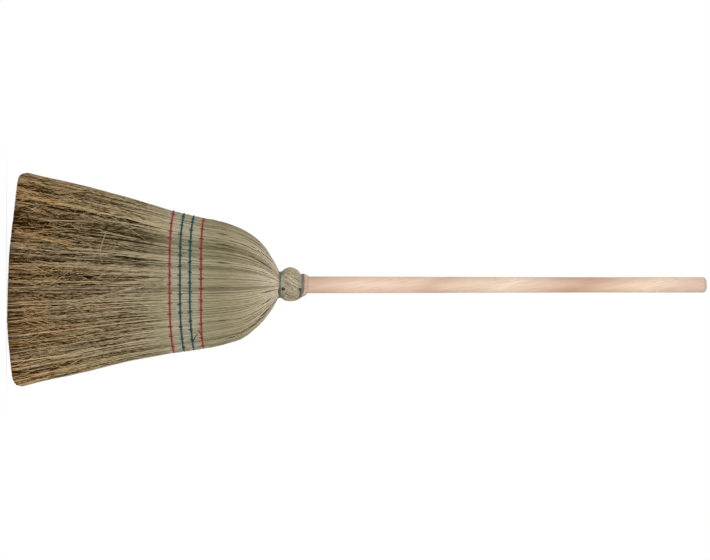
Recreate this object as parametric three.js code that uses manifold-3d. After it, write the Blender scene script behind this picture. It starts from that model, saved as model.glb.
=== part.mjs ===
import * as THREE from 'three';
import { mergeGeometries, mergeVertices } from 'three/addons/utils/BufferGeometryUtils.js';
import Module from 'manifold-3d';

// A corn broom standing on its trimmed straw, in millimetres, with +Z up the handle.
// The straw fan is wide along X and thin along Y, and its front looks to -Y.
// The origin is the middle of the sweeping edge, at floor level.
// Shapes are drawn round the handle's axis, and the whole broom is moved aside at the end.

const wasm = await Module();
wasm.setup();
const TURN = Math.PI * 2;

// Whole broom
const LENGTH = 1200;
const HANDLE_ASIDE = 9.6; // the fan leans, so the handle stands beside the sweeping edge's middle
const CLEARANCE = 0.35; // between pieces that touch

// Handle: a turned stick, tapered where it runs down inside the straw
const HANDLE_RADIUS = 14.25;
const HANDLE_END_RADIUS = 13.4;
const HANDLE_FOOT = 350;
const HANDLE_FOOT_RADIUS = 8;
const HANDLE_FOOT_TAPER = 45;
const HANDLE_NECK = 520; // height where the long taper starts
const HANDLE_DOME = 5.5;
const HANDLE_DOME_STEPS = 5;
const HANDLE_TOP_FLAT = 6;
const HANDLE_SIDES = 32;

// Outline of the straw head: height, reach to the left, reach to the right, half thickness,
// and the power of the oval section, where 2 is an ellipse and 4 is nearly a rounded slab
const HEAD = [
  [0, 196.5, 177.5, 31, 4],
  [26, 192, 172.5, 30.5, 4],
  [108, 177, 154.5, 28, 3.6],
  [211, 150, 129.5, 24, 3.2],
  [279, 129, 117.5, 21, 3],
  [333, 116, 109.5, 22, 2.8],
  [369, 108.5, 102, 26, 2.6],
  [403, 96, 91, 29, 2.4],
  [430, 77.5, 69.5, 28.5, 2.2],
  [444, 63.5, 54, 27.3, 2.1],
  [451, 53, 46, 26.2, 2],
  [458, 40, 35.5, 24.8, 2],
  [462.8, 28, 26, 23.2, 2],
  [464.6, 21.9, 21.9, 21.9, 2],
  [470.1, 21.9, 21.9, 21.9, 2],
];
const BODY_FOOT = 262; // the straw is packed solid above this, and hangs free below it
const STITCH_SPACES = 14; // spaces between stitches across the head
const EDGE_ROUNDING = 0.98; // extra outline point near each side edge
const GATHER = 0.7; // depth of the folds gathered in the shoulder straw
const GATHER_FULL = [380, 440]; // heights between which the folds are deepest
const GATHER_END = 462;

// Sweeping edge: flat where the broom stands, trimmed upwards to both sides
const EDGE_FLAT = 114;
const EDGE_FLAT_MIDDLE = 27;
const EDGE_SLOPE = 0.125;
const CORNER_LIFT = 8;
const CORNER_START = 0.94;
const TRIM_UNEVENNESS = 2;

// Free straw below the sewing
const STRAND_COLUMNS = 75;
const STRAND_ROWS = [
  { rootDepth: 0.93, tipDepth: 0.78, shift: 0.25 }, // outer row
  { rootDepth: 0.15, tipDepth: 0.28, shift: 0.75 }, // inner row
];
const STRAND_BEND = 128; // height where strands bend, to follow the fan's bowed left edge
const STRAND_BENDS_FROM = 0.45;
const STRAND_BENDS_FULLY = 0.8;
const STRAND_SPAN = 0.985; // share of the head's width that the outermost strands stand at
const STRAND_ROOT_DEPTH = 5;
const STRAND_RADIUS = 1.35;
const STRAND_DRAWS = 3; // numbers of unevenness for each strand
const STRAND_WANDER = 1.1; // sideways unevenness at the tips
const STRAND_SPREAD = 0.18; // unevenness in depth at the tips, as a share of the half thickness

// Sewing: rows of twine round the head, stitched through it
const TWINE_RADIUS = 1.1;
const BELT_SIDES = 5;
const STITCH_RADIUS = 1;
const STITCH_SIDES = 3;
const SEAM_BOW = 7; // how far a row rises at the head's side edges
const SEAM_BOW_POWER = 5;
const SEAM_BOW_END = 403; // height on the shoulder where the straw no longer follows the rows
const SEAM_LAP_RISE = 1.35; // where a row's ends lie side by side
const SEAM_HEIGHTS = [279, 296, 313, 333];
const TOP_SEAM = SEAM_HEIGHTS.at(-1);

// Straw inside the head: height, reach to the left, reach to the right, half thickness
const CORE = [
  [345, 40, 40, 13.5],
  [380, 30, 30, 17.5],
  [410, 20, 20, 18.6],
  [424, 17.2, 17.2, 17.2],
  [441, 17.2, 17.2, 17.2],
];
const SHOULDERS = [
  [345, 102, 97, 15.8],
  [369, 95, 90, 19.4],
  [403, 78, 74, 22.4],
  [430, 48, 43, 22.3],
  [441.5, 25, 24, 21.6],
  [445.5, 17.4, 17.4, 17.4],
  [457, 17.4, 17.4, 17.4],
];
const INNER_SIDES = 20;

// Neck ball of twisted stem ends, with its tapered collar: height and radius
const NECK_BALL = [
  [470.4, 21.9],
  [472, 22.4],
  [475, 25.4],
  [480, 28.5],
  [486, 29.2],
  [492, 28.1],
  [497.5, 25.4],
  [501.5, 21.7],
  [504, 19.2],
  [510.5, 18.7],
  [516, 15.1],
];
const BALL_STEMS = 16;
const BALL_STEM_DEPTH = 0.6;
const BALL_STEMS_RISE = [475, 481]; // heights where the creases between stems begin
const BALL_STEMS_FALL = [493, 500]; // and where they end
const BALL_TWIST = 0.75;

// Binding wire
const WIRE_RADIUS = 0.8;
const WIRE_SEAT = 0.5; // room under a turn
const HIDDEN_WIRE_SEAT = 0.8;
const WIRE_PITCH = 2.1;
const WIRE_STEPS = 24;
const WIRE_SIDES = 6;
const HIDDEN_WIRE_STEPS = 14;
const HIDDEN_WIRE_SIDES = 4;
const LOWER_WIRE = { height: 465.6, turns: 4 };
const UPPER_WIRE = { height: 502.2, turns: 3 };
const CORE_WIRE = { height: 427.5, turns: 3 };
const SHOULDER_WIRE = { height: 448, turns: 3 };
const CORE_WIRE_ANCHOR = 442.6; // height of the hole in the handle that holds the wire's start
const CORE_WIRE_ANCHOR_DEPTH = 6;

// Nails that pin the ends of the neck wires
const NAIL_RADIUS = 0.9;
const NAIL_HEAD_RADIUS = 2.5;
const NAIL_HEAD_HEIGHT = 1.2;
const NAIL_HEAD_DOME = [[1, 0], [0.95, 0.5], [0.6, 0.9], [0, 1]]; // shares of radius and height
const NAIL_POINT = 4; // distance of the point from the handle's axis
const NAIL_POINT_LENGTH = 2.7;
const NAIL_SIDES = 10;
const LOWER_NAIL_ANGLE = THREE.MathUtils.degToRad(-75);
const UPPER_NAIL_ANGLE = THREE.MathUtils.degToRad(-70);

// Finishes
const STRAW = { color: 0x8f856a, roughness: 0.85 };
const STEMS = { color: 0xa4987f, roughness: 0.8 };
const INNER_STRAW = { color: 0x978a66, roughness: 0.85 };
const WOOD = { color: 0xe2bfa5, roughness: 0.55 };
const WIRE = { color: 0x7f7c6b, roughness: 0.5, metalness: 0.8 };
const NAIL = { color: 0x33342a, roughness: 0.6, metalness: 0.6 };
const RED_TWINE = { color: 0x9c2b2b, roughness: 0.8 };
const BLUE_TWINE = { color: 0x1f4a55, roughness: 0.8 };

const SEAM_NAMES = ['red_seam_lower', 'blue_seam_lower', 'blue_seam_upper', 'red_seam_upper'];
const SEAM_FINISHES = [RED_TWINE, BLUE_TWINE, BLUE_TWINE, RED_TWINE];

// Steady, repeatable unevenness between -1 and 1
function wander(seed) {
  const noise = Math.sin(seed * 127.1 + 311.7) * 43758.5453;
  return 2 * (noise - Math.floor(noise)) - 1;
}

// Skins a stack of rings that run the same way round, and closes both ends with fans
function loft(rings) {
  const count = rings[0].length;
  const faces = [];
  for (let row = 0; row < rings.length - 1; row++) {
    for (let i = 0; i < count; i++) {
      const a = row * count + i;
      const b = row * count + ((i + 1) % count);
      faces.push(a, b, b + count, a, b + count, a + count);
    }
  }
  const last = (rings.length - 1) * count;
  for (let i = 1; i < count - 1; i++) {
    faces.push(0, i + 1, i, last, last + i, last + i + 1);
  }
  const numbers = rings.flat().flatMap((point) => point.toArray());
  const geometry = new THREE.BufferGeometry();
  geometry.setAttribute('position', new THREE.Float32BufferAttribute(numbers, 3));
  geometry.setIndex(faces);
  return geometry;
}

// A round tube along a list of points, carrying its section along without twist
function tube(path, radius, sides) {
  let across = new THREE.Vector3(0, 0, 1);
  const rings = path.map((point, i) => {
    const ahead = path[Math.min(i + 1, path.length - 1)];
    const behind = path[Math.max(i - 1, 0)];
    const along = ahead.clone().sub(behind).normalize();
    across = across.clone().addScaledVector(along, -across.dot(along)).normalize();
    const other = along.clone().cross(across);
    return Array.from({ length: sides }, (_, side) => {
      const angle = (TURN * side) / sides;
      const ringPoint = point.clone().addScaledVector(across, radius * Math.cos(angle));
      return ringPoint.addScaledVector(other, radius * Math.sin(angle));
    });
  });
  return loft(rings);
}

// Turns a closed geometry into a solid for joining and cutting
function solid(geometry) {
  const bare = geometry.clone();
  bare.deleteAttribute('normal');
  bare.deleteAttribute('uv');
  const merged = mergeVertices(bare);
  const vertProperties = new Float32Array(merged.attributes.position.array);
  const triVerts = new Uint32Array(merged.index.array);
  return new wasm.Manifold(new wasm.Mesh({ numProp: 3, vertProperties, triVerts }));
}

// Turns a solid back into a geometry
function shapeOf(cutSolid) {
  const { vertProperties, triVerts } = cutSolid.getMesh();
  const geometry = new THREE.BufferGeometry();
  geometry.setAttribute('position', new THREE.BufferAttribute(vertProperties, 3));
  geometry.setIndex(new THREE.BufferAttribute(triVerts, 1));
  return geometry;
}

const broom = new THREE.Group();

function addPiece(name, geometry, finish) {
  geometry.computeVertexNormals();
  const piece = new THREE.Mesh(geometry, new THREE.MeshStandardMaterial(finish));
  piece.name = name;
  broom.add(piece);
  return piece;
}

// Section of the head at a height
const headCurve = new THREE.CubicInterpolant(
  HEAD.map(([height]) => height),
  HEAD.flatMap((row) => row.slice(1)),
  HEAD[0].length - 1,
);

function headSection(height) {
  const [left, right, half, power] = headCurve.evaluate(height);
  return { left, right, half, power };
}

// Half thickness of the head, part of the way across it from -1 (left edge) to 1 (right edge)
function halfThickness(section, across) {
  return section.half * (1 - Math.abs(across) ** section.power) ** (1 / section.power);
}

function reach(section, across) {
  return across * (across < 0 ? section.left : section.right);
}

// The sewn rows, and the straw's outline with them, rise towards the head's side edges
function rowHeight(height, across) {
  const fadeIn = THREE.MathUtils.smoothstep(height, BODY_FOOT, SEAM_HEIGHTS[0]);
  const fadeOut = 1 - THREE.MathUtils.smoothstep(height, TOP_SEAM, SEAM_BOW_END);
  return height + SEAM_BOW * fadeIn * fadeOut * Math.abs(across) ** SEAM_BOW_POWER;
}

// A point on the head's surface, on the side -1 (front) or 1 (back), or some way out from it
function headPoint(height, across, side, out = 0) {
  const rowed = rowHeight(height, across);
  const section = headSection(rowed);
  const x = reach(section, across);
  const y = halfThickness(section, across);
  const span = across < 0 ? section.left : section.right;
  const slopeX = Math.sign(across) * (Math.abs(x) / span) ** (section.power - 1) / span;
  const slopeY = (y / section.half) ** (section.power - 1) / section.half;
  const outward = new THREE.Vector2(slopeX, slopeY).normalize();
  return new THREE.Vector3(x + out * outward.x, side * (CLEARANCE / 2 + y + out * outward.y), rowed);
}

// Places across the head: the stitches and half-way between them, with a point to round each edge
const stitchPlaces = Array.from({ length: STITCH_SPACES - 1 }, (_, i) => (2 * (i + 1)) / STITCH_SPACES - 1);
const foldPlaces = Array.from({ length: STITCH_SPACES }, (_, i) => (2 * i + 1) / STITCH_SPACES - 1);
const edgePlaces = [-1, -EDGE_ROUNDING, EDGE_ROUNDING, 1];
const bodyPlaces = [...stitchPlaces, ...foldPlaces, ...edgePlaces].sort((a, b) => a - b);
const outerStitches = [stitchPlaces[0], stitchPlaces.at(-1)];
const beltPlaces = [...foldPlaces, ...outerStitches, ...edgePlaces].sort((a, b) => a - b);

// One half of the packed straw, from the neck down to just under the sewing
function packedStraw(side) {
  const above = HEAD.map(([height]) => height).filter((height) => height > TOP_SEAM);
  const heights = [BODY_FOOT, ...SEAM_HEIGHTS, ...above];
  const places = side < 0 ? bodyPlaces : bodyPlaces.toReversed();
  const rings = heights.map((height) => {
    const rise = THREE.MathUtils.smoothstep(height, TOP_SEAM, GATHER_FULL[0]);
    const fall = 1 - THREE.MathUtils.smoothstep(height, GATHER_FULL[1], GATHER_END);
    return places.map((place) => {
      const fold = foldPlaces.includes(place) ? GATHER * rise * fall : 0;
      return headPoint(height, place, side, fold);
    });
  });
  return loft(rings);
}

// Height of the trimmed straw tips
function trimmedEdge(x, across, seed) {
  const slope = EDGE_SLOPE * Math.max(0, Math.abs(x - EDGE_FLAT_MIDDLE) - EDGE_FLAT / 2);
  const corner = Math.max(0, (Math.abs(across) - CORNER_START) / (1 - CORNER_START));
  const uneven = slope > 0 ? TRIM_UNEVENNESS * Math.abs(wander(seed)) : 0;
  return slope + uneven + CORNER_LIFT * corner ** 2;
}

// A three-sided strand from inside the packed straw to the sweeping edge
function strand(across, row, side, seed) {
  const root = BODY_FOOT + STRAND_ROOT_DEPTH;
  const tip = trimmedEdge(reach(headSection(0), across), across, seed);
  const tipX = reach(headSection(tip), across) + STRAND_WANDER * wander(seed + 1);
  const tipDepth = row.tipDepth + STRAND_SPREAD * wander(seed + 2);
  const rootX = reach(headSection(root), across);
  const bow = THREE.MathUtils.smoothstep(-across, STRAND_BENDS_FROM, STRAND_BENDS_FULLY);
  const heights = bow > 0 ? [tip, STRAND_BEND, root] : [tip, root];
  const rings = heights.map((height) => {
    const share = (height - tip) / (root - tip);
    const section = headSection(height);
    const straightX = THREE.MathUtils.lerp(tipX, rootX, share);
    const curvedX = reach(section, across);
    const x = height === STRAND_BEND ? THREE.MathUtils.lerp(straightX, curvedX, bow) : straightX;
    const depth = THREE.MathUtils.lerp(tipDepth, row.rootDepth, share);
    const y = side * depth * halfThickness(section, across);
    return Array.from({ length: 3 }, (_, corner) => {
      const angle = side * (TURN / 4) + (TURN * corner) / 3;
      const cornerX = x + STRAND_RADIUS * Math.cos(angle);
      return new THREE.Vector3(cornerX, y + STRAND_RADIUS * Math.sin(angle), height);
    });
  });
  return loft(rings);
}

function skirt(side) {
  const strands = [];
  const earlier = side < 0 ? 0 : STRAND_ROWS.length * STRAND_COLUMNS;
  for (const row of STRAND_ROWS) {
    for (let column = 0; column < STRAND_COLUMNS; column++) {
      const across = STRAND_SPAN * ((2 * (column + row.shift)) / STRAND_COLUMNS - 1);
      const seed = STRAND_DRAWS * (earlier + strands.length);
      strands.push(strand(across, row, side, seed));
    }
  }
  return mergeGeometries(strands);
}

// Sewn row: one turn of twine round the head, lapped at the right edge, with stitches through the straw
function seamPath(height) {
  const front = beltPlaces.toReversed();
  const route = [
    { place: EDGE_ROUNDING, side: 1 },
    ...front.map((place) => ({ place, side: -1 })),
    ...beltPlaces.slice(1).map((place) => ({ place, side: 1 })),
    { place: EDGE_ROUNDING, side: -1 },
  ];
  return route.map(({ place, side }, i) => {
    const point = headPoint(height, place, side, CLEARANCE + TWINE_RADIUS);
    point.z += SEAM_LAP_RISE * ((2 * i) / (route.length - 1) - 1);
    return { place, side, point };
  });
}

// Stitches: straight runs of twine from the front of a row to its back, half-way between the folds
function stitches(path, radius) {
  const through = [];
  for (let i = 0; i < foldPlaces.length - 1; i++) {
    const folds = foldPlaces.slice(i, i + 2);
    const ends = [-1, 1].map((side) => {
      const [first, second] = path.filter((step) => step.side === side && folds.includes(step.place));
      return first.point.clone().lerp(second.point, 0.5);
    });
    through.push(tube(ends, radius, STITCH_SIDES));
  }
  return mergeGeometries(through);
}

// Oval straw bundles inside the head, or the room that they need
function bundle(stations, room = 0) {
  const rings = stations.map(([height, left, right, half], i) => {
    const end = i === 0 ? -room : room;
    const z = i === 0 || i === stations.length - 1 ? height + end : height;
    return Array.from({ length: INNER_SIDES }, (_, side) => {
      const angle = (TURN * side) / INNER_SIDES;
      const x = Math.cos(angle) * (Math.cos(angle) < 0 ? left + room : right + room);
      return new THREE.Vector3(x, Math.sin(angle) * (half + room), z);
    });
  });
  return solid(loft(rings));
}

// The handle, or the room that it needs in the straw
function handleShape(room = 0) {
  const profile = new THREE.Path();
  const shoulder = LENGTH - HANDLE_DOME;
  profile.moveTo(0, HANDLE_FOOT - room);
  profile.lineTo(HANDLE_FOOT_RADIUS + room, HANDLE_FOOT - room);
  profile.lineTo(HANDLE_RADIUS + room, HANDLE_FOOT + HANDLE_FOOT_TAPER);
  profile.lineTo(HANDLE_RADIUS + room, HANDLE_NECK);
  profile.lineTo(HANDLE_END_RADIUS + room, shoulder);
  profile.quadraticCurveTo(HANDLE_END_RADIUS + room, LENGTH + room, HANDLE_TOP_FLAT, LENGTH + room);
  profile.lineTo(0, LENGTH + room);
  return new THREE.LatheGeometry(profile.getPoints(HANDLE_DOME_STEPS), HANDLE_SIDES).rotateX(TURN / 4);
}

// An upright cylinder of room between two heights
function roundRoom(radius, low, high) {
  const room = new THREE.CylinderGeometry(radius, radius, high - low, HANDLE_SIDES).rotateX(TURN / 4);
  return solid(room.translate(0, 0, (low + high) / 2));
}

// Radius of the neck straw, under the lower wire and up the ball and its collar
const ballCurve = new THREE.CubicInterpolant(
  NECK_BALL.map(([height]) => height),
  NECK_BALL.map(([, radius]) => radius),
  1,
);

function neckRadius(height) {
  return height < NECK_BALL[0][0] ? NECK_BALL[0][1] : ballCurve.evaluate(height)[0];
}

function neckBall() {
  const [foot] = NECK_BALL[0];
  const [top] = NECK_BALL.at(-1);
  const rings = NECK_BALL.map(([height, radius]) => {
    const rise = THREE.MathUtils.smoothstep(height, ...BALL_STEMS_RISE);
    const fall = 1 - THREE.MathUtils.smoothstep(height, ...BALL_STEMS_FALL);
    const twist = (BALL_TWIST * (height - foot)) / (top - foot);
    return Array.from({ length: 2 * BALL_STEMS }, (_, i) => {
      const angle = (TURN * i) / (2 * BALL_STEMS) + twist;
      const stem = radius - (i % 2) * BALL_STEM_DEPTH * rise * fall;
      return new THREE.Vector3(stem * Math.cos(angle), stem * Math.sin(angle), height);
    });
  });
  return solid(loft(rings));
}

// Helix of wire round the straw, with both ends running straight for one wire diameter
function winding({ height, turns }, radiusAt, startAngle, steps, seat) {
  const path = [];
  for (let i = 0; i <= turns * steps; i++) {
    const z = height + (WIRE_PITCH * i) / steps;
    const slope = radiusAt(z + WIRE_RADIUS) - radiusAt(z - WIRE_RADIUS);
    const steep = Math.hypot(1, slope / (2 * WIRE_RADIUS));
    const radius = radiusAt(z) + (WIRE_RADIUS + seat) * steep;
    const angle = startAngle + (TURN * i) / steps;
    path.push(new THREE.Vector3(radius * Math.cos(angle), radius * Math.sin(angle), z));
  }
  const lead = path[0].clone().sub(path[1]).setLength(2 * WIRE_RADIUS).add(path[0]);
  const tail = path.at(-1).clone().sub(path.at(-2)).setLength(2 * WIRE_RADIUS).add(path.at(-1));
  return [lead, ...path, tail];
}

// Least gap between turns of a winding, measured between points half a turn or more apart
function leastGap(path, steps) {
  let least = Infinity;
  for (let i = 0; i < path.length; i++) {
    for (let j = i + steps / 2; j < path.length; j++) {
      least = Math.min(least, path[i].distanceTo(path[j]) - 2 * WIRE_RADIUS);
    }
  }
  return least;
}

// A nail driven straight at the handle's axis, its head just over the wire
function nailShape(seat) {
  const profile = [
    [0, NAIL_POINT],
    [NAIL_RADIUS, NAIL_POINT + NAIL_POINT_LENGTH],
    [NAIL_RADIUS, seat],
    ...NAIL_HEAD_DOME.map(([wide, high]) => [wide * NAIL_HEAD_RADIUS, seat + high * NAIL_HEAD_HEIGHT]),
  ];
  const outline = profile.map(([radius, out]) => new THREE.Vector2(radius, out));
  return new THREE.LatheGeometry(outline, NAIL_SIDES);
}

function nailRoom(angle, height) {
  const length = HANDLE_RADIUS * 2;
  const radius = NAIL_RADIUS + CLEARANCE;
  const room = new THREE.CylinderGeometry(radius, radius, length, NAIL_SIDES);
  room.translate(0, NAIL_POINT - CLEARANCE + length / 2, 0).rotateZ(angle - TURN / 4);
  return solid(room.translate(0, 0, height));
}

// Angle round the neck that a nail and a straight wire end take up
function nailSpace(radius) {
  return (NAIL_RADIUS + CLEARANCE + 2 * WIRE_RADIUS) / radius;
}

// Wires
const lowerNailHeight = LOWER_WIRE.height + LOWER_WIRE.turns * WIRE_PITCH;
const upperNailHeight = UPPER_WIRE.height;
const wireOut = 2 * WIRE_RADIUS + WIRE_SEAT;
const lowerEnd = LOWER_NAIL_ANGLE - nailSpace(neckRadius(lowerNailHeight) + wireOut);
const lowerStart = lowerEnd - TURN * LOWER_WIRE.turns;
const lowerWire = winding(LOWER_WIRE, neckRadius, lowerStart, WIRE_STEPS, WIRE_SEAT);
const upperStart = UPPER_NAIL_ANGLE + nailSpace(neckRadius(upperNailHeight) + wireOut);
const upperWire = winding(UPPER_WIRE, neckRadius, upperStart, WIRE_STEPS, WIRE_SEAT);
const shoulderNeck = SHOULDERS.at(-1)[1];
const shoulderWire = winding(SHOULDER_WIRE, () => shoulderNeck, 0, HIDDEN_WIRE_STEPS, HIDDEN_WIRE_SEAT);

// The core wire's top end turns inwards, through the shoulder straw, to a hole in the handle
const coreNeck = CORE.at(-1)[1];
const coreTurns = winding(CORE_WIRE, () => coreNeck, 0, HIDDEN_WIRE_STEPS, HIDDEN_WIRE_SEAT).slice(0, -1);
const coreRadius = coreNeck + WIRE_RADIUS + HIDDEN_WIRE_SEAT;
const coreRise = [0.25, 0.5, 0.75, 1].map((share) => {
  const angle = (TURN / 4) * share;
  const z = THREE.MathUtils.lerp(coreTurns.at(-1).z, CORE_WIRE_ANCHOR, share);
  return new THREE.Vector3(coreRadius * Math.cos(angle), coreRadius * Math.sin(angle), z);
});
const coreAnchor = [coreRadius - 2 * WIRE_RADIUS, HANDLE_RADIUS - CORE_WIRE_ANCHOR_DEPTH].map(
  (y) => new THREE.Vector3(0, y, CORE_WIRE_ANCHOR),
);
const coreWire = [...coreTurns, ...coreRise, ...coreAnchor];
const wireRoomRadius = 2 * WIRE_RADIUS;
const pastAnchor = coreRise.at(-1).clone().setX(-wireRoomRadius);
const riseRoom = tube([coreTurns.at(-1), ...coreRise, pastAnchor], wireRoomRadius, HIDDEN_WIRE_SIDES);
const anchorRoom = tube([coreRise.at(-1), coreAnchor.at(-1)], wireRoomRadius, HIDDEN_WIRE_SIDES);
const coreWireRoom = solid(riseRoom).add(solid(anchorRoom));

const lowerNailRoom = nailRoom(LOWER_NAIL_ANGLE, lowerNailHeight);
const upperNailRoom = nailRoom(UPPER_NAIL_ANGLE, upperNailHeight);
const handleRoom = solid(handleShape(CLEARANCE));

// Handle
const handle = solid(handleShape()).subtract(lowerNailRoom).subtract(upperNailRoom).subtract(coreWireRoom);
addPiece('handle', shapeOf(handle), WOOD);

// Inside straw: core bundles on the front and back of the handle's end, shoulder bundles at its sides
function halfSpace(axis, side) {
  const size = 2 * LENGTH;
  const block = new THREE.BoxGeometry(size, size, size);
  const shift = new THREE.Vector3();
  shift[axis] = side * (size / 2 + CLEARANCE / 2);
  return solid(block.translate(...shift.toArray()));
}

const core = bundle(CORE).subtract(handleRoom);
const coreWireTop = CORE_WIRE.height + CORE_WIRE.turns * WIRE_PITCH;
const coreWireReach = coreRadius + WIRE_RADIUS + 2 * CLEARANCE;
const coreBand = roundRoom(
  coreWireReach,
  CORE_WIRE.height - 2 * WIRE_RADIUS,
  coreWireTop + 2 * WIRE_RADIUS,
);
const shoulders = bundle(SHOULDERS)
  .subtract(bundle(CORE, CLEARANCE))
  .subtract(handleRoom)
  .subtract(coreBand)
  .subtract(coreWireRoom);
for (const [name, side] of [['front', -1], ['back', 1]]) {
  addPiece(`${name}_core_straw`, shapeOf(core.intersect(halfSpace('y', side))), INNER_STRAW);
}
for (const [name, side] of [['left', -1], ['right', 1]]) {
  addPiece(`${name}_shoulder_straw`, shapeOf(shoulders.intersect(halfSpace('x', side))), INNER_STRAW);
}
addPiece('core_wire', tube(coreWire, WIRE_RADIUS, HIDDEN_WIRE_SIDES), WIRE);
addPiece('shoulder_wire', tube(shoulderWire, WIRE_RADIUS, HIDDEN_WIRE_SIDES), WIRE);

// Sewing, and the channels that its stitches need
const seamPaths = SEAM_HEIGHTS.map(seamPath);
const channels = seamPaths.map((path) => solid(stitches(path, STITCH_RADIUS + 1.5 * CLEARANCE)));
seamPaths.forEach((path, i) => {
  const belt = solid(tube(path.map((step) => step.point), TWINE_RADIUS, BELT_SIDES));
  const seam = belt.add(solid(stitches(path, STITCH_RADIUS)));
  addPiece(SEAM_NAMES[i], shapeOf(seam), SEAM_FINISHES[i]);
});

// Cover straw: packed halves with free strands below, hollowed for what they hold
const shoulderWireTop = SHOULDER_WIRE.height + SHOULDER_WIRE.turns * WIRE_PITCH;
const shoulderWireReach = shoulderNeck + 2 * WIRE_RADIUS + HIDDEN_WIRE_SEAT + 2 * CLEARANCE;
const shoulderBand = roundRoom(
  shoulderWireReach,
  SHOULDER_WIRE.height - 2 * WIRE_RADIUS,
  shoulderWireTop + 2 * WIRE_RADIUS,
);
const hollow = bundle(SHOULDERS, CLEARANCE).add(shoulderBand).add(handleRoom);
for (const [name, side] of [['front', -1], ['back', 1]]) {
  let cover = solid(packedStraw(side)).subtract(hollow);
  cover = channels.reduce((straw, channel) => straw.subtract(channel), cover);
  addPiece(`${name}_cover_straw`, shapeOf(cover.add(solid(skirt(side)))), STRAW);
}

// Neck
const ball = neckBall().subtract(handleRoom).subtract(lowerNailRoom).subtract(upperNailRoom);
addPiece('neck_ball_straw', shapeOf(ball), STEMS);
addPiece('lower_neck_wire', tube(lowerWire, WIRE_RADIUS, WIRE_SIDES), WIRE);
addPiece('upper_neck_wire', tube(upperWire, WIRE_RADIUS, WIRE_SIDES), WIRE);
for (const [name, angle, height] of [
  ['lower_neck_nail', LOWER_NAIL_ANGLE, lowerNailHeight],
  ['upper_neck_nail', UPPER_NAIL_ANGLE, upperNailHeight],
]) {
  const seat = neckRadius(height) + wireOut + CLEARANCE + WIRE_RADIUS;
  const nail = addPiece(name, nailShape(seat), NAIL);
  nail.rotation.z = angle - TURN / 4;
  nail.position.z = height;
}

for (const [name, path, steps] of [
  ['lower neck wire', lowerWire, WIRE_STEPS],
  ['upper neck wire', upperWire, WIRE_STEPS],
  ['shoulder wire', shoulderWire, HIDDEN_WIRE_STEPS],
  ['core wire', coreTurns, HIDDEN_WIRE_STEPS],
]) {
  console.log(`${name}: least gap between turns ${leastGap(path, steps).toFixed(2)} mm`);
}

broom.position.x = HANDLE_ASIDE;

export default broom;
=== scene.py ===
# %% [markdown]
# # A corn broom, straw by straw
# The broom stands on its trimmed straw with the handle up Z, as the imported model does.
# Everything on it that is soft or wound is made again here as what it really is: straws, twine and wire.
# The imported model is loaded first, and every new piece rides on its one body.

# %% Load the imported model
import math

import bmesh
import bpy
import numpy as np
from mathutils import Matrix, Vector


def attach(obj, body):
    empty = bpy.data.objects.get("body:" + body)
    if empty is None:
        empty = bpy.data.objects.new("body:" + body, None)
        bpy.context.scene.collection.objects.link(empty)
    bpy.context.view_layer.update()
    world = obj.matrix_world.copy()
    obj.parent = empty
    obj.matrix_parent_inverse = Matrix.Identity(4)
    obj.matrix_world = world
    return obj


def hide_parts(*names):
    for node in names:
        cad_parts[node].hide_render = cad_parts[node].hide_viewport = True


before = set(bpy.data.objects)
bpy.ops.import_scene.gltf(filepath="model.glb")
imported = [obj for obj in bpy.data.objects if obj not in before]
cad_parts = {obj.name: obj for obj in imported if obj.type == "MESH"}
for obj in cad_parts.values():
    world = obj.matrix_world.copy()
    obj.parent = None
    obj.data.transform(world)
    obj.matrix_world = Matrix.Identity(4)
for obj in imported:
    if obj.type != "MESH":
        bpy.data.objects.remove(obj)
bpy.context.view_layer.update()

scene = bpy.context.scene
MM = 0.001
TURN = 2 * math.pi

# %% [markdown]
# ## Camera
# The broom was photographed lying across the picture, with its straw to the left.
# It stands upright here, so the camera is rolled a quarter turn instead of the broom.
# A long lens from far away keeps the outline flat, as a catalogue photograph does.

# %% Camera
CAMERA_DISTANCE = 40.0
VIEW_WIDTH = 1.217
VIEW_MIDDLE = Vector((0.0012, 0.0, 0.5969))
SENSOR_WIDTH = 36.0
PICTURE_RIGHT = (0, 0, 1)
PICTURE_UP = (-1, 0, 0)
TOWARDS_CAMERA = (0, -1, 0)

camera_data = bpy.data.cameras.new("camera")
camera_data.sensor_width = SENSOR_WIDTH
camera_data.lens = SENSOR_WIDTH * CAMERA_DISTANCE / VIEW_WIDTH
camera = bpy.data.objects.new("camera", camera_data)
scene.collection.objects.link(camera)
camera_place = Matrix.Translation(VIEW_MIDDLE + CAMERA_DISTANCE * Vector(TOWARDS_CAMERA))
camera_turn = Matrix((PICTURE_RIGHT, PICTURE_UP, TOWARDS_CAMERA)).transposed().to_4x4()
camera.matrix_world = camera_place @ camera_turn
scene.camera = camera
print("camera lens", round(camera_data.lens), "mm")

# %% [markdown]
# ## Shader maths as Python
# A finish is easier to read as a formula than as a web of nodes.
# `Socket` wraps one socket, so that `1 - mask * 0.5` adds the Math nodes by itself.

# %% Socket
class Socket:
    """A value in a shader that Python's operators work on."""

    def __init__(self, finish, socket):
        self.finish = finish
        self.socket = socket

    def math(self, operation, first, second):
        return self.finish.node("ShaderNodeMath", {"operation": operation}, {0: first, 1: second})

    def __add__(self, other):
        return self.math("ADD", self, other)

    def __sub__(self, other):
        return self.math("SUBTRACT", self, other)

    def __rsub__(self, other):
        return self.math("SUBTRACT", other, self)

    def __mul__(self, other):
        return self.math("MULTIPLY", self, other)

    def __truediv__(self, other):
        return self.math("DIVIDE", self, other)

    __radd__ = __add__
    __rmul__ = __mul__


print("sockets can be added, subtracted, multiplied and divided")

# %% [markdown]
# ## Finishes
# A finish is a material for one kind of surface: straw, twine, wire, iron or wood.
# `Finish.node` adds any node: its settings first, then the values or links of its sockets.
# The other methods are the few combinations that the finishes of this broom share.

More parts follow.
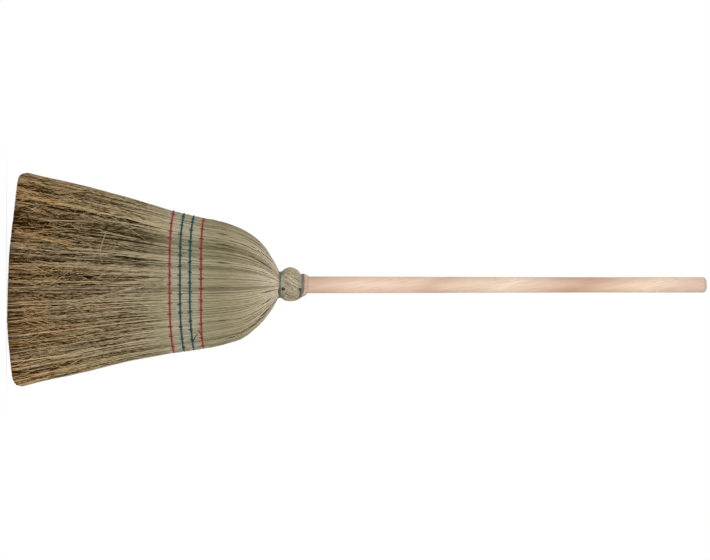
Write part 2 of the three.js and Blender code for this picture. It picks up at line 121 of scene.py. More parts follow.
# %% Finish
class Finish:
    """A material with one Principled shader, built node by node."""

    def __init__(self, name):
        self.material = bpy.data.materials.new(name)
        self.material.use_nodes = True
        self.tree = self.material.node_tree
        self.tree.nodes.clear()

    def node(self, kind, settings=None, inputs=None, output=0):
        node = self.tree.nodes.new(kind)
        for name, value in (settings or {}).items():
            if name == "stops":
                self.set_stops(node.color_ramp, value)
            else:
                setattr(node, name, value)
        for name, value in (inputs or {}).items():
            if isinstance(value, Socket):
                self.tree.links.new(value.socket, node.inputs[name])
            else:
                node.inputs[name].default_value = value
        return Socket(self, node.outputs[output]) if node.outputs else node

    @staticmethod
    def set_stops(ramp, stops):
        while len(ramp.elements) < len(stops):
            ramp.elements.new(1.0)
        for element, (position, colour) in zip(ramp.elements, stops):
            element.position = position
            element.color = (*colour, 1.0)

    def coordinates(self, size, lean=0.0):
        """Object coordinates for a pattern of this size in mm along each axis, leant over in the XZ plane."""
        place = self.node("ShaderNodeTexCoord", output="Object")
        inputs = {"Vector": place, "Rotation": (0, lean, 0), "Scale": [length * MM for length in size]}
        return self.node("ShaderNodeMapping", {"vector_type": "TEXTURE"}, inputs)

    def noise(self, size, detail=2.0, lean=0.0):
        inputs = {"Vector": self.coordinates(size, lean), "Scale": 1.0, "Detail": detail}
        return self.node("ShaderNodeTexNoise", {}, inputs, output="Fac")

    def place(self, axis):
        """One of a point's Object coordinates in metres."""
        place = self.node("ShaderNodeTexCoord", output="Object")
        return self.node("ShaderNodeSeparateXYZ", {}, {0: place}, output=axis)

    def straw_trait(self, axis):
        """A straw's lightness (X), its warmth (Y), or how far along it a point is (Z)."""
        traits = self.node("ShaderNodeAttribute", {"attribute_name": "straw_traits"}, output="Vector")
        return self.node("ShaderNodeSeparateXYZ", {}, {0: traits}, output=axis)

    def ramp(self, value, stops):
        return self.node("ShaderNodeValToRGB", {"stops": stops}, {0: value})

    def band(self, value, low, high):
        """0 below low, 1 above high, and smooth between them."""
        settings = {"interpolation_type": "SMOOTHSTEP"}
        return self.node("ShaderNodeMapRange", settings, {"Value": value, 1: low, 2: high})

    def mix(self, share, first, second):
        settings = {"data_type": "RGBA"}
        return self.node("ShaderNodeMix", settings, {0: share, 6: first, 7: second}, output=2)

    def scaled(self, colour, by):
        return self.node("ShaderNodeVectorMath", {"operation": "SCALE"}, {0: colour, "Scale": by})

    def bump(self, height, strength, distance):
        inputs = {"Strength": strength, "Distance": distance * MM, "Height": height}
        return self.node("ShaderNodeBump", {}, inputs)

    def shade(self, **inputs):
        """Ends the finish: a Principled shader with these sockets."""
        named = {name.replace("_", " "): value for name, value in inputs.items()}
        surface = self.node("ShaderNodeBsdfPrincipled", {}, named)
        self.node("ShaderNodeOutputMaterial", {}, {"Surface": surface})
        return self.material


print("finishes can be built")

# %% [markdown]
# ## Floor
# The photograph has a plain white ground, and the broom needs a floor to stand on.
# The floor is its own white where a camera sees it, so no lamp has to be turned up to make it white.
# Near the broom it is partly lit by the lamps, so that it still takes the broom's shadow.

# %% Floor
FLOOR_RADIUS = 30.0
FLOOR_SIDES = 64
FLOOR_SHADOW = (290, 85, 1000)
FLOOR_FADE = (0.5, 1.0)
FLOOR_GLOW = 0.76
WHITE = (1.0, 1.0, 1.0, 1.0)


def seen_directly(finish):
    """1 where the camera, or a mirror or glass, looks straight at the surface."""
    seen = finish.node("ShaderNodeLightPath", output="Is Camera Ray")
    for ray in ("Is Glossy Ray", "Is Transmission Ray"):
        seen = seen.math("MAXIMUM", seen, finish.node("ShaderNodeLightPath", output=ray))
    return seen


def finished_mesh(name, shape):
    """The mesh of a bmesh that is done with."""
    mesh = bpy.data.meshes.new(name)
    shape.to_mesh(mesh)
    shape.free()
    return mesh


floor_finish = Finish("white_floor")
lit = floor_finish.node("ShaderNodeBsdfDiffuse", {}, {"Color": WHITE})
glow = floor_finish.node("ShaderNodeEmission", {}, {"Color": WHITE, "Strength": 1.0})
floor_place = floor_finish.coordinates(FLOOR_SHADOW)
distance = floor_finish.node(
    "ShaderNodeVectorMath", {"operation": "LENGTH"}, {0: floor_place}, output="Value"
)
glow_share = FLOOR_GLOW + (1 - FLOOR_GLOW) * floor_finish.band(distance, *FLOOR_FADE)
floor_share = seen_directly(floor_finish) * glow_share
floor_surface = floor_finish.node("ShaderNodeMixShader", {}, {0: floor_share, 1: lit, 2: glow})
floor_finish.node("ShaderNodeOutputMaterial", {}, {"Surface": floor_surface})

floor_shape = bmesh.new()
bmesh.ops.create_circle(floor_shape, cap_ends=True, segments=FLOOR_SIDES, radius=FLOOR_RADIUS)
floor_mesh = finished_mesh("floor", floor_shape)
floor_mesh.materials.append(floor_finish.material)
floor = bpy.data.objects.new("floor", floor_mesh)
scene.collection.objects.link(floor)
print("floor", FLOOR_RADIUS, "m in radius")

# %% [markdown]
# ## Light
# The light in the photograph comes evenly from the front.
# The world gives more than half of it, and a broad lamp in front models the round handle and the straws.
# A weaker lamp behind does the same for whoever walks round the broom.

# %% World and lamps
WORLD_LIGHT = 0.66
LAMP_SIZE = 2.0
LAMPS = (
    # name, power, place
    ("front_lamp", 90.0, Vector((-0.1, -4.6, 1.0))),
    ("back_lamp", 80.0, Vector((0.5, 4.6, 1.3))),
)

world = bpy.data.worlds.new("white_world")
world.use_nodes = True
sky = Finish("sky_builder")
sky.tree = world.node_tree
sky.tree.nodes.clear()
dim = sky.node("ShaderNodeBackground", {}, {"Color": WHITE, "Strength": WORLD_LIGHT})
white = sky.node("ShaderNodeBackground", {}, {"Color": WHITE, "Strength": 1.0})
sky_surface = sky.node("ShaderNodeMixShader", {}, {0: seen_directly(sky), 1: dim, 2: white})
sky.node("ShaderNodeOutputWorld", {}, {"Surface": sky_surface})
bpy.data.materials.remove(sky.material)
scene.world = world

for name, power, place in LAMPS:
    lamp_data = bpy.data.lights.new(name, "AREA")
    lamp_data.energy = power
    lamp_data.size = LAMP_SIZE
    lamp = bpy.data.objects.new(name, lamp_data)
    scene.collection.objects.link(lamp)
    lamp.location = place
    lamp.rotation_euler = (VIEW_MIDDLE - place).to_track_quat("-Z", "Y").to_euler()
scene.view_settings.view_transform = "Standard"
print("world and", len(LAMPS), "lamps in place")

# %% [markdown]
# ## The shape of the head
# The straw head is a fan: round at the neck, thick at the shoulder, flat at the sewing, wide at the floor.
# It could be sculpted, but every straw and every row of twine has to lie on the same shape.
# So a table gives its reach, half thickness and squareness at some heights, and a smooth curve the rest.
# All sizes from here on are millimetres round the handle's axis.

# %% Head table
HANDLE_ASIDE = 9.6
HEAD = np.array([
    # height, left, right, half thickness, squareness of the section
    [0, 198, 178.3, 31, 4],
    [26, 193.4, 173.2, 30.5, 4],
    [66, 184.6, 163.0, 29.4, 3.8],
    [108, 175.4, 154.5, 28, 3.6],
    [211, 148.1, 129.2, 24, 3.2],
    [279, 127.5, 116.7, 21, 3],
    [333, 114.6, 109, 22, 2.8],
    [369, 107.4, 101.7, 26, 2.6],
    [403, 95, 91.6, 29, 2.4],
    [430, 77.6, 71.4, 28.5, 2.2],
    [444, 62.8, 56.3, 27.3, 2.1],
    [451, 51.6, 47, 26.2, 2],
    [458, 40, 36, 24.8, 2],
    [462.8, 30.8, 26.5, 23.4, 2],
    [464.8, 26.6, 23.4, 22.6, 2],
    [467, 21.9, 21.9, 21.9, 2],
    [476, 21.9, 21.9, 21.9, 2],
])


def along_table(table, height):
    """The table's columns at these heights, on a smooth curve that never overshoots its rows."""
    stations, values = table[:, 0], table[:, 1:]
    gaps = np.diff(stations)[:, None]
    rises = np.diff(values, axis=0) / gaps
    before, after = rises[:-1], rises[1:]
    slopes = np.zeros_like(values)
    turning = before * after <= 0
    slopes[1:-1] = np.where(turning, 0, 2 * before * after / np.where(turning, 1, before + after))
    slopes[0], slopes[-1] = rises[0], rises[-1]
    height = np.clip(np.asarray(height, float), stations[0], stations[-1])
    row = np.clip(np.searchsorted(stations, height, side="right") - 1, 0, len(stations) - 2)
    gap = gaps[row]
    share = (height - stations[row])[..., None] / gap
    low, high = values[row], values[row + 1]
    bend = share * (1 - share)
    ends = low * (1 - share) + high * share
    lean = slopes[row] * gap * (1 - share) - slopes[row + 1] * gap * share
    sway = (low - high) * (1 - 2 * share)
    return ends + bend * (lean + sway)


print("head is", *(round(v) for v in along_table(HEAD, 0.0)[:2]), "mm to the left and right at the floor")

# %% [markdown]
# ## Places in the head
# A straw's place is easiest to say as a share: -1 is the left edge, 1 the right edge, at any height.
# Then a straw that keeps its share fans out with the head by itself.
# The sewn rows bow up towards the side edges, and the straw between them rises with them.

# %% Places in the head
BODY_FOOT = 262.0
SEAM_HEIGHTS = (279.2, 297.0, 314.0, 333.0)
SEAM_BOW = 7.0
SEAM_BOW_POWER_LEFT = 4
SEAM_BOW_POWER_RIGHT = (3, 5)
SEAM_BOW_FADE = (305.0, 370.0)
OUTLINE_SAMPLES = 2001


def smoothstep(value, low, high):
    share = np.clip((value - low) / (high - low), 0.0, 1.0)
    return share * share * (3 - 2 * share)


def row_rise(height, across):
    """How much the sewn rows, and the straw with them, rise towards the head's side edges."""
    fade_in = smoothstep(height, BODY_FOOT, SEAM_HEIGHTS[0])
    fade_out = 1 - smoothstep(height, *SEAM_BOW_FADE)
    low, high = SEAM_BOW_POWER_RIGHT
    power_right = low + (high - low) * smoothstep(height, *SEAM_HEIGHTS[2:])
    power = np.where(across < 0, SEAM_BOW_POWER_LEFT, power_right)
    return SEAM_BOW * fade_in * fade_out * np.abs(across) ** power


def head_points(height, across, side, depth=1.0, out=0.0):
    """Points in the head: across from -1 (left edge) to 1, side -1 (front) or 1 (back),
    depth as a share of the half thickness, and a distance out from there."""
    left, right, half, power = np.moveaxis(along_table(HEAD, height), -1, 0)
    across = np.clip(across, -1.0, 1.0)
    span = np.where(across < 0, left, right)
    thick = (1 - np.abs(across) ** power) ** (1 / power)
    slope_x = np.sign(across) * np.abs(across) ** (power - 1) / span
    slope_y = thick ** (power - 1) / half
    steep = np.hypot(slope_x, slope_y)
    x = across * span + out * slope_x / steep + HANDLE_ASIDE
    y = side * (depth * thick * half + out * slope_y / steep)
    return np.stack(np.broadcast_arrays(x, y, height), axis=-1)


def length_along(points):
    """The way along a line of points, from its start to each of them."""
    return np.concatenate([[0], np.cumsum(np.linalg.norm(np.diff(points, axis=0), axis=1))])


def even_places(count, height, rng):
    """Places across one face of the head, in even steps along its outline, each a little off its step."""
    fine = np.sin(np.linspace(-TURN / 4, TURN / 4, OUTLINE_SAMPLES))
    length = length_along(head_points(np.full(fine.shape, height), fine, -1))
    steps = (np.arange(count) + rng.random(count)) / count
    return np.interp(steps * length[-1], length, fine)


print("lowest row bows up", float(row_rise(SEAM_HEIGHTS[0], 1.0)), "mm at the right edge")

# %% [markdown]
# ## Straw
# Broom corn is a dry grass with long thin stems.
# A straw could be a hair particle, but hair leaves no mesh, and these straws are shapes of their own.
# So each bundle is one curve object with a spline for every straw, given a thickness and made a mesh.
# Three traits are written on each straw's points: its lightness, its warmth, and how far along it a point is.

# %% Straw maker
def close_ends(mesh):
    """Fills the open ends of the tubes, after all their other faces."""
    shape = bmesh.new()
    shape.from_mesh(mesh)
    open_edges = [edge for edge in shape.edges if edge.is_boundary]
    bmesh.ops.holes_fill(shape, edges=open_edges, sides=0)
    shape.to_mesh(mesh)
    shape.free()


def write_traits(mesh, straws, traits):
    """Writes each straw's lightness and warmth, and how far along it a point is, on its points."""
    per_straw = len(mesh.vertices) // straws
    index = np.arange(len(mesh.vertices))
    along = index % per_straw / per_straw
    values = np.column_stack([traits[index // per_straw], along]).astype(np.float32)
    attribute = mesh.attributes.new("straw_traits", "FLOAT_VECTOR", "POINT")
    attribute.data.foreach_set("vector", values.ravel())


def straw_mesh(name, paths, radii, traits, sides=0):
    """A mesh of closed tubes. paths: (straws, points, 3) in mm; radii: (straws, points) in mm;
    traits: (straws, 2) lightness and warmth. sides is the curve's bevel resolution."""
    curve = bpy.data.curves.new(name, "CURVE")
    curve.dimensions = "3D"
    curve.bevel_depth = MM
    curve.bevel_resolution = sides
    for path, radius in zip(paths * MM, radii):
        spline = curve.splines.new("POLY")
        spline.points.add(len(path) - 1)
        spline.points.foreach_set("co", np.column_stack([path, np.ones(len(path))]).ravel())
        spline.points.foreach_set("radius", radius)
        spline.use_smooth = True
    holder = bpy.data.objects.new(name + "_curve", curve)
    scene.collection.objects.link(holder)
    depsgraph = bpy.context.evaluated_depsgraph_get()
    mesh = bpy.data.meshes.new_from_object(holder.evaluated_get(depsgraph))
    bpy.data.objects.remove(holder)
    bpy.data.curves.remove(curve)
    mesh.name = name
    tube_faces = len(mesh.polygons)
    close_ends(mesh)
    write_traits(mesh, len(paths), traits)
    lay_out_strips(mesh, len(paths), tube_faces)
    return mesh


print("straws are tubes with three traits")

# %% [markdown]
# ## A flat place for each straw
# A baked picture needs a UV map in which no two faces share a place.
# The curve gives every tube the same map, so each straw's copy is moved into a narrow strip of its own.
# The cut ends get a small round place beyond the strip's two ends.

# %% Straw strips
STRAWS_TO_ROW = 90
STRIP_ACROSS = (0.08, 0.84)
STRIP_ALONG = (0.06, 0.88)
CUT_ENDS = (0.025, 0.975)
CUT_SIZE = (0.4, 0.015)


def lay_out_strips(mesh, straws, tube_faces):
    """Moves the tubes' UV map into a strip for each straw, with its cut ends beyond the strip."""
    rows = max(1, round(math.sqrt(straws / STRAWS_TO_ROW)))
    columns = math.ceil(straws / rows)
    corner_vertex = np.zeros(len(mesh.loops), np.int32)
    mesh.loops.foreach_get("vertex_index", corner_vertex)
    straw, place = np.divmod(corner_vertex, len(mesh.vertices) // straws)
    layer = mesh.uv_layers[0]
    uv = np.zeros(2 * len(mesh.loops), np.float32)
    layer.uv.foreach_get("vector", uv)
    along, around = uv.reshape(-1, 2).T
    first_cut = mesh.polygons[tube_faces]
    is_cut = np.arange(len(mesh.loops)) >= first_cut.loop_start
    sides = first_cut.loop_total
    angle = TURN * (place % sides) / sides
    cut_across = 0.5 + CUT_SIZE[0] * np.cos(angle)
    cut_along = np.where(place < sides, *CUT_ENDS) + CUT_SIZE[1] * np.sin(angle)
    across_strip = np.where(is_cut, cut_across, STRIP_ACROSS[0] + STRIP_ACROSS[1] * around)
    along_strip = np.where(is_cut, cut_along, STRIP_ALONG[0] + STRIP_ALONG[1] * along)
    u = (straw % columns + across_strip) / columns
    v = (straw // columns + along_strip) / rows
    layer.name = "OFBake"
    layer.uv.foreach_set("vector", np.column_stack([u, v]).astype(np.float32).ravel())


print("strips lie in a map with about", STRAWS_TO_ROW, "times as many columns as rows")

# %% [markdown]
# ## Adding a piece
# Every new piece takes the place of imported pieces, belongs to the broom's one body, and has a material slot.
# One helper says all of that, and another makes the straws first.

# %% Adding a piece
def add_piece(mesh, finish, slot, *nodes):
    """Puts a finished mesh into the scene, on the broom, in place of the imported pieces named."""
    piece = bpy.data.objects.new(mesh.name, mesh)
    scene.collection.objects.link(piece)
    mesh.materials.clear()
    mesh.materials.append(finish)
    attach(piece, "root")
    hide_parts(*nodes)
    print(mesh.name, "has", len(mesh.polygons), "faces")


def add_straws(name, straws, finish, slot, *nodes, sides=0):
    """Adds a piece made of straws, given as their paths, radii and traits."""
    add_piece(straw_mesh(name, *straws, sides=sides), finish, slot, *nodes)


print("pieces can be added")

# %% [markdown]
# ## Straw finish
# Dry broom corn is pale khaki where it is packed, and warmer and browner towards its fine tips.
# A picture of straw would have to be stretched over thousands of tubes.
# So the colour is a formula: a dark and a pale straw at every height, and each straw somewhere between them.
# The dark straw is partly painted shade, which the deeper straws take.
# Its warmth turns it golden, less so above the skirt and on the palest straws.

# %% Straw finish
STRAW_TOP = 0.5
STRAW_COLOURS = (
    # share of STRAW_TOP, colour of the darkest straws there (partly painted shade), colour of the palest
    (0.0, (0.051, 0.023, 0.002), (0.61, 0.457, 0.272)),
    (0.25, (0.034, 0.017, 0.002), (0.525, 0.436, 0.278)),
    (0.46, (0.038, 0.025, 0.005), (0.485, 0.404, 0.256)),
    (0.53, (0.132, 0.113, 0.063), (0.442, 0.372, 0.234)),
    (0.56, (0.19, 0.172, 0.105), (0.465, 0.42, 0.306)),
    (0.65, (0.18, 0.16, 0.096), (0.436, 0.395, 0.285)),
    (0.69, (0.153, 0.135, 0.069), (0.371, 0.334, 0.212)),
    (0.74, (0.147, 0.125, 0.063), (0.35, 0.309, 0.2)),
    (0.82, (0.18, 0.149, 0.083), (0.46, 0.398, 0.268)),
    (0.92, (0.26, 0.216, 0.14), (0.69, 0.6, 0.462)),
)
SKIRT_TOP = (0.23, 0.3)
GOLD_TINT = (1.18, 0.86, 0.43)
GOLD_HEIGHTS = (0.1, 0.26)
GOLD_ABOVE = 0.15
GOLD_TONES = (0.4, 1.0)
GOLD_PALE = 0.4


def straw_finish(name):
    finish = Finish(name)
    height = finish.place("Z")
    dark = finish.ramp(height / STRAW_TOP, [(stop, colour) for stop, colour, _ in STRAW_COLOURS])
    pale = finish.ramp(height / STRAW_TOP, [(stop, colour) for stop, _, colour in STRAW_COLOURS])
    below = 1.0 - finish.band(height, *SKIRT_TOP)
    fine = finish.noise((1.4, 1.4, 10.5), detail=3.0)
    streaks = finish.band(fine, 0.32, 0.68) - 0.5
    patches = finish.band(finish.noise((8, 8, 95), detail=1.0), 0.35, 0.65) - 0.5
    own = 0.5 + (finish.straw_trait("X") - 0.5) * (0.75 + 0.25 * below)
    tone = own + streaks * (0.3 + 0.38 * below) + (0.16 * patches - 0.13) * below
    colour = finish.mix(tone, dark, pale)
    golden = finish.node("ShaderNodeVectorMath", {"operation": "MULTIPLY"}, {0: colour, 1: GOLD_TINT})
    gold_share = 1.0 - (1.0 - GOLD_ABOVE) * finish.band(height, *GOLD_HEIGHTS)
    gold_share = gold_share * (1.0 - (1.0 - GOLD_PALE) * finish.band(tone, *GOLD_TONES))
    colour = finish.mix(finish.straw_trait("Y") * gold_share, colour, golden)
    rough = 0.6 + 0.3 * fine
    bump = finish.bump(fine, 0.25, 0.3)
    return finish.shade(Base_Color=colour, Roughness=rough, Normal=bump, Specular_IOR_Level=0.04)


cover_straw = straw_finish("cover_straw")
print("straw finish has", len(STRAW_COLOURS), "colours by height")

# %% [markdown]
# ## Straw bed
# Behind the straws that show lies more straw, packed so tightly that no light gets through.
# Thousands of hidden tubes would do the same, at a great cost.
# It is a shell just under the surface instead, bridged from ring to ring, with room for the inner bundles. Its
# dark colour is painted shade, so the gaps between the straws above it look deep.

# %% Straw bed
BED_SIDES = 96
BED_HEIGHTS = (
    236, 262, 279, 287, 296, 304, 313, 323, 333, 350,
    369, 386, 403, 418, 430, 444, 451, 458, 463, 466,
)
BED_INSET = 3.0
BED_WALL = 3.0
# Painted shade: the bed is coloured as deep straw looks in shade.
BED_DARK = (0.045, 0.036, 0.019, 1)
BED_PALE = (0.26, 0.215, 0.13, 1)


def bed_ring(shape, height, inset):
    """A ring of the head's section at this height, and its edges."""
    made = bmesh.ops.create_circle(shape, segments=BED_SIDES, radius=1.0)["verts"]
    power = along_table(HEAD, float(height))[3]
    for vert in made:
        across = math.copysign(abs(vert.co.x) ** (2 / power), vert.co.x)
        level = np.array(height + float(row_rise(height, across)))
        side = -1 if vert.co.y < 0 else 1
        vert.co = Vector(head_points(level, np.array(across), side, 1.0, -inset)) * MM
    return [edge for edge in shape.edges if all(vert in made for vert in edge.verts)]


bed_shape = bmesh.new()
outer = [bed_ring(bed_shape, height, BED_INSET) for height in BED_HEIGHTS]
inner = [bed_ring(bed_shape, height, BED_INSET + BED_WALL) for height in reversed(BED_HEIGHTS)]
loops = [*outer, *inner, outer[0]]
for first, second in zip(loops, loops[1:]):
    bmesh.ops.bridge_loops(bed_shape, edges=first + second)
bmesh.ops.recalc_face_normals(bed_shape, faces=bed_shape.faces)
bed_finish = Finish("shaded_straw_bed")
bed_fibre = bed_finish.noise((1.5, 1.5, 80), detail=4.0)
painted_shade_colour = bed_finish.mix(bed_fibre, BED_DARK, BED_PALE)
bed_finish.shade(Base_Color=painted_shade_colour, Roughness=0.8, Normal=bed_finish.bump(bed_fibre, 0.6, 0.6))
BOTH_COVERS = ("front_cover_straw", "back_cover_straw")
add_piece(finished_mesh("shaded_straw_bed", bed_shape), bed_finish.material, "cover_straw", *BOTH_COVERS)

# %% [markdown]
# ## Trimmed edge
# The maker trims the finished broom with a blade: nearly straight, a little higher at both rounded corners.
# Cutting thousands of tubes with a plane would be slow, so each straw is simply made to end there.

# %% Trimmed edge
TRIM = np.array([
    # distance across from the middle, height of the trimmed edge
    [-184, 34], [-183, 30], [-181, 25.6], [-178, 22.4], [-174, 20], [-168, 18.5], [-143, 15.4],
    [-102, 10.8], [-80, 8], [-47, 4.3], [8, 1.9], [70, 0.5], [104, 2.7], [145, 6.7],
    [163, 8.8], [170, 10.4], [176, 13.4], [180, 17], [182, 21.5], [183, 25],
])
TRIM_LEVEL = 22.0
TRIM_UNEVEN = 0.5


def trimmed(across, rng):
    """The height at which a straw that hangs at this place across the head is cut."""
    x = head_points(np.full(across.shape, TRIM_LEVEL), across, -1)[:, 0]
    return np.interp(x, TRIM[:, 0], TRIM[:, 1]) + np.abs(rng.normal(0, TRIM_UNEVEN, across.shape))


print("sweeping edge rises", TRIM[0, 1], "and", TRIM[-1, 1], "mm at its corners")

# %% [markdown]
# ## Locks
# Straw never hangs evenly: a hand gathers it into locks, and near-black gaps open and close between them.
# A lock has a middle that pulls its straws together by an amount that swings along their length.
# It also has its own lightness and warmth, and stands out a little or sinks in.
# On the front the locks follow the dark and warm streaks of the photograph.

# %% Locks
FACES = (
    # name, side, seed
    ("front", -1, 1),
    ("back", 1, 2),
)
STREAKS = (
    # place across the front, width, how much darker its locks are, how much warmer
    (-0.84, 0.11, -0.16, 0.35),
    (-0.71, 0.04, -0.2, 0.2),
    (-0.63, 0.06, 0.66, 0.0),
    (-0.51, 0.07, 0.66, 0.0),
    (-0.27, 0.022, 0.28, 0.0),
    (-0.19, 0.04, -0.14, 0.0),
    (0.03, 0.03, 0.25, 0.0),
    (0.1, 0.025, 0.25, 0.0),
    (0.21, 0.045, 0.3, 0.3),
    (0.45, 0.035, 0.3, 0.2),
    (0.6, 0.05, -0.18, 0.0),
    (0.87, 0.09, 0.02, 0.25),
)
LOCK_COUNT = 78
LOCK_SEED = 2
LOCK_SIDES = (0.93, 0.99)


def make_locks(count, rng, streaks=()):
    centre = np.sort(rng.uniform(-1.0, 1.0, count))
    dark, warm = np.zeros(count), np.zeros(count)
    for middle, width, darker, warmer in streaks:
        near = np.exp(-((centre - middle) / width) ** 2)
        dark += darker * near
        warm += warmer * near
    return {
        "centre": centre,
        "pull": np.clip(rng.normal(0.63, 0.2, count), 0.1, 0.94),
        "rate": rng.uniform(1.2, 3.4, count),
        "phase": rng.uniform(0, TURN, count),
        "lift": rng.normal(0, 1, count),
        "drift": rng.normal(0, 2.5, count),
        "light": rng.normal(0, 1, count) * 0.14 - dark,
        "warmth": rng.normal(0, 1, count) * 0.24 + warm,
    }


def in_locks(across, locks):
    """The traits of each straw's lock, in columns. At the narrow sides a lock doesn't move its straws."""
    nearest = np.abs(across[:, None] - locks["centre"][None, :]).argmin(axis=1)
    lock = {name: values[nearest][:, None] for name, values in locks.items()}
    inside = (1 - smoothstep(np.abs(across), *LOCK_SIDES))[:, None]
    for move in ("pull", "lift", "drift"):
        lock[move] = lock[move] * inside
    return lock


LOCKS = {
    side: make_locks(LOCK_COUNT, np.random.default_rng(LOCK_SEED + seed), STREAKS if side < 0 else ())
    for _, side, seed in FACES
}
print("locks on each face:", LOCK_COUNT)

# %% [markdown]
# ## How straw hangs
# At the sewing each straw is held, and the further below it hangs, the more it goes its own way.
# Its lock draws it in, and it sways, slants and frays towards its tip.
# A simulation could find such a pose, but a few waves with random sizes look the same and stay under control.

# %% How straw hangs
FREE_FROM = BODY_FOOT + 12
TIP_FRAY = 2.6
FRAY_HEIGHT = 90
STRAY_SHARE = 0.18
STRAY_SWAY = 3.5


def freedom(heights):
    """0 at and above the sewing, rising to 1 at the floor."""
    return np.clip(1 - heights / FREE_FROM, 0, 1)


def lock_pull(lock, heights):
    """How strongly a lock draws its straws together at these heights below the sewing."""
    free = freedom(heights)
    swing = 0.5 + 0.5 * np.sin(TURN * lock["rate"] * free + lock["phase"])
    return lock["pull"] * free ** 0.5 * (0.25 + 0.75 * swing)


def gathered(across, lock, pull):
    """Places of straws that are drawn towards the middle of their lock."""
    across = across[:, None]
    return across + (lock["centre"] - across) * pull


def wander(heights, rng, sway, slant):
    """Sideways wander of each straw in mm, growing below the sewing."""
    free = freedom(heights)
    column = (len(heights), 1)
    waves = rng.uniform(2.0, 6.0, column) * np.pi * free + rng.uniform(0, TURN, column)
    stray = np.where(rng.random(column) < STRAY_SHARE, STRAY_SWAY, 1.0)
    fray = rng.normal(0, TIP_FRAY, column) * smoothstep(-heights, -FRAY_HEIGHT, 0)
    own_way = rng.normal(0, sway, column) * np.sin(waves) + rng.normal(0, slant, column)
    return stray * free * own_way + fray


print("straw is free below", FREE_FROM, "mm")

# %% [markdown]
# ## The press of the sewing
# Each row of twine sinks into the straw, and each stitch that loops over it puckers the straw a little more.
# The stitches sit where the photograph shows them, so they are listed.

# %% Press of the sewing
STITCHES = (
    # for each row from the lowest: the stitches' distances from the handle's axis
    (-122, -106, -92, -80, -60, -36, -17, -2, 14, 31, 50, 72, 89, 106),
    (-118, -103, -87, -65, -51, -32, -16, 0, 16, 33, 48, 72, 93, 108),
    (-114, -108, -94, -74, -58, -39, -22, -3, 12, 29, 46, 62, 77, 94),
    (-111, -96, -79, -62, -44, -27, -10, 7, 26, 43, 67, 91, 105),
)
PRESS_DEPTH = 0.9
PRESS_WIDTH = 4.5
PUCKER_DEPTH = 1.1
PUCKER_WIDTH = 0.016
SIDE_EASE = 0.2
SIDE_EASE_POWER = 10


def stitch_places(height, distances):
    left, right = along_table(HEAD, height)[:2]
    distances = np.array(distances)
    return distances / np.where(distances < 0, left, right)


STITCH_PLACES = {row: stitch_places(row, distances) for row, distances in zip(SEAM_HEIGHTS, STITCHES)}


def press(heights, places):
    """How far the twine presses the straw in near each sewn row: more at each stitch, less at the sides."""
    depth = 0.0
    for row, stitches in STITCH_PLACES.items():
        near = np.exp(-((heights - row) / PRESS_WIDTH) ** 2)
        off = np.abs(places[..., None] - stitches).min(axis=-1)
        depth = depth + PRESS_DEPTH * near
        depth = depth + PUCKER_DEPTH * near * np.exp(-(off / PUCKER_WIDTH) ** 2)
        depth = depth - SIDE_EASE * near * np.abs(places) ** SIDE_EASE_POWER
    return depth


print("stitches on the front:", sum(len(row) for row in STITCHES))

# %% [markdown]
# ## Partings
# In the shoulder the straws part here and there, and a thin dark line shows between them.
# Painting the lines would be quick, but they would be flat.
# So the straws beside each parting are pushed apart, and the darkness is real depth.

# %% Partings
PART_PUSH = 1.5
PART_SPREAD = 3.0
PARTINGS = (
    # from and to: height, distance across from the middle
    ((345, -68), (400, -49)),
    ((348, -57), (397, -47.5)),
    ((417, -41.5), (455, -17.5)),
    ((413, -62), (460, -28)),
    ((355, -83), (387, -71)),
    ((351, -29.5), (380, -28)),
    ((374, 102), (402, 95.5)),
    ((350, 71.5), (380, 70)),
    ((410, 93.5), (464, 32)),
    ((437, 43), (462, 28.5)),
    ((437, 23.5), (463, 17.5)),
)


def parted(places, heights):
    """The places of straws, moved aside where a parting runs down between them."""
    left, right = np.moveaxis(along_table(HEAD, heights)[..., :2], -1, 0)
    for (low, low_x), (high, high_x) in PARTINGS:
        share = np.clip((heights - low) / (high - low), 0, 1)
        x = low_x + (high_x - low_x) * share - HANDLE_ASIDE
        reach = np.where(x < 0, left, right)
        off = places * reach - x
        push = PART_PUSH * np.sqrt(np.sin(np.pi * share)) * np.exp(-((off / PART_SPREAD) ** 2))
        places = places + np.sign(off) * push / reach
    return places


print("partings in the shoulder:", len(PARTINGS))

# %% [markdown]
# ## Cover straw
# The outer straws fan down from the wired neck, over the shoulder, under the sewing and on to the floor.
# Each one keeps its place across the head and thins towards the neck, where all of them crowd together.
# Half of them reach the floor, and the others end on the way in a fine point.
# A few are bolder: thicker, paler and further out.

# %% Cover straw
COVER_COUNT = 700
COVER_LEVEL = 300.0
COVER_RADIUS = 0.74
COVER_TOP = (
    467, 464, 460.5, 456.5, 452, 446.5, 440, 432, 423, 412, 400, 386, 371, 352,
    333, 323, 313, 304.5, 296, 287.5, 279,
)
COVER_SHARES = (0.08, 0.17, 0.27, 0.37, 0.47, 0.57, 0.67, 0.77, 0.87, 0.94, 1.0)
COVER_EDGE = 0.999
COVER_SEED = 10
LONG_SHARE = 0.5
SHORT_ENDS = (60, 225)
NECK_GATHER = (345, 455)
NECK_THIN = (-467, -380)
SHOULDER_SWELL = (340, 400)
BOLD_SHARE = 0.14
BOLD_GIRTH = 1.3
BOLD_LIGHT = 0.35


def straw_traits(light, warm, lock_share, lock, bold, across, rng):
    """Lightness and warmth of straws: their own and their lock's, and greyer at the narrow sides as a painted
    edge shade.
    """
    count = len(across)
    lightness = light + rng.normal(0, 0.46, count) + lock_share * lock["light"][:, 0] + BOLD_LIGHT * bold
    # Painted shade: straws at the narrow sides lose warmth and turn greyer.
    dull = 1 - 0.75 * smoothstep(np.abs(across), 0.965, 0.997)
    warmth = np.clip(warm + rng.normal(0, 0.3, count) + lock["warmth"][:, 0], 0, 1) * dull
    return np.column_stack([lightness, warmth])


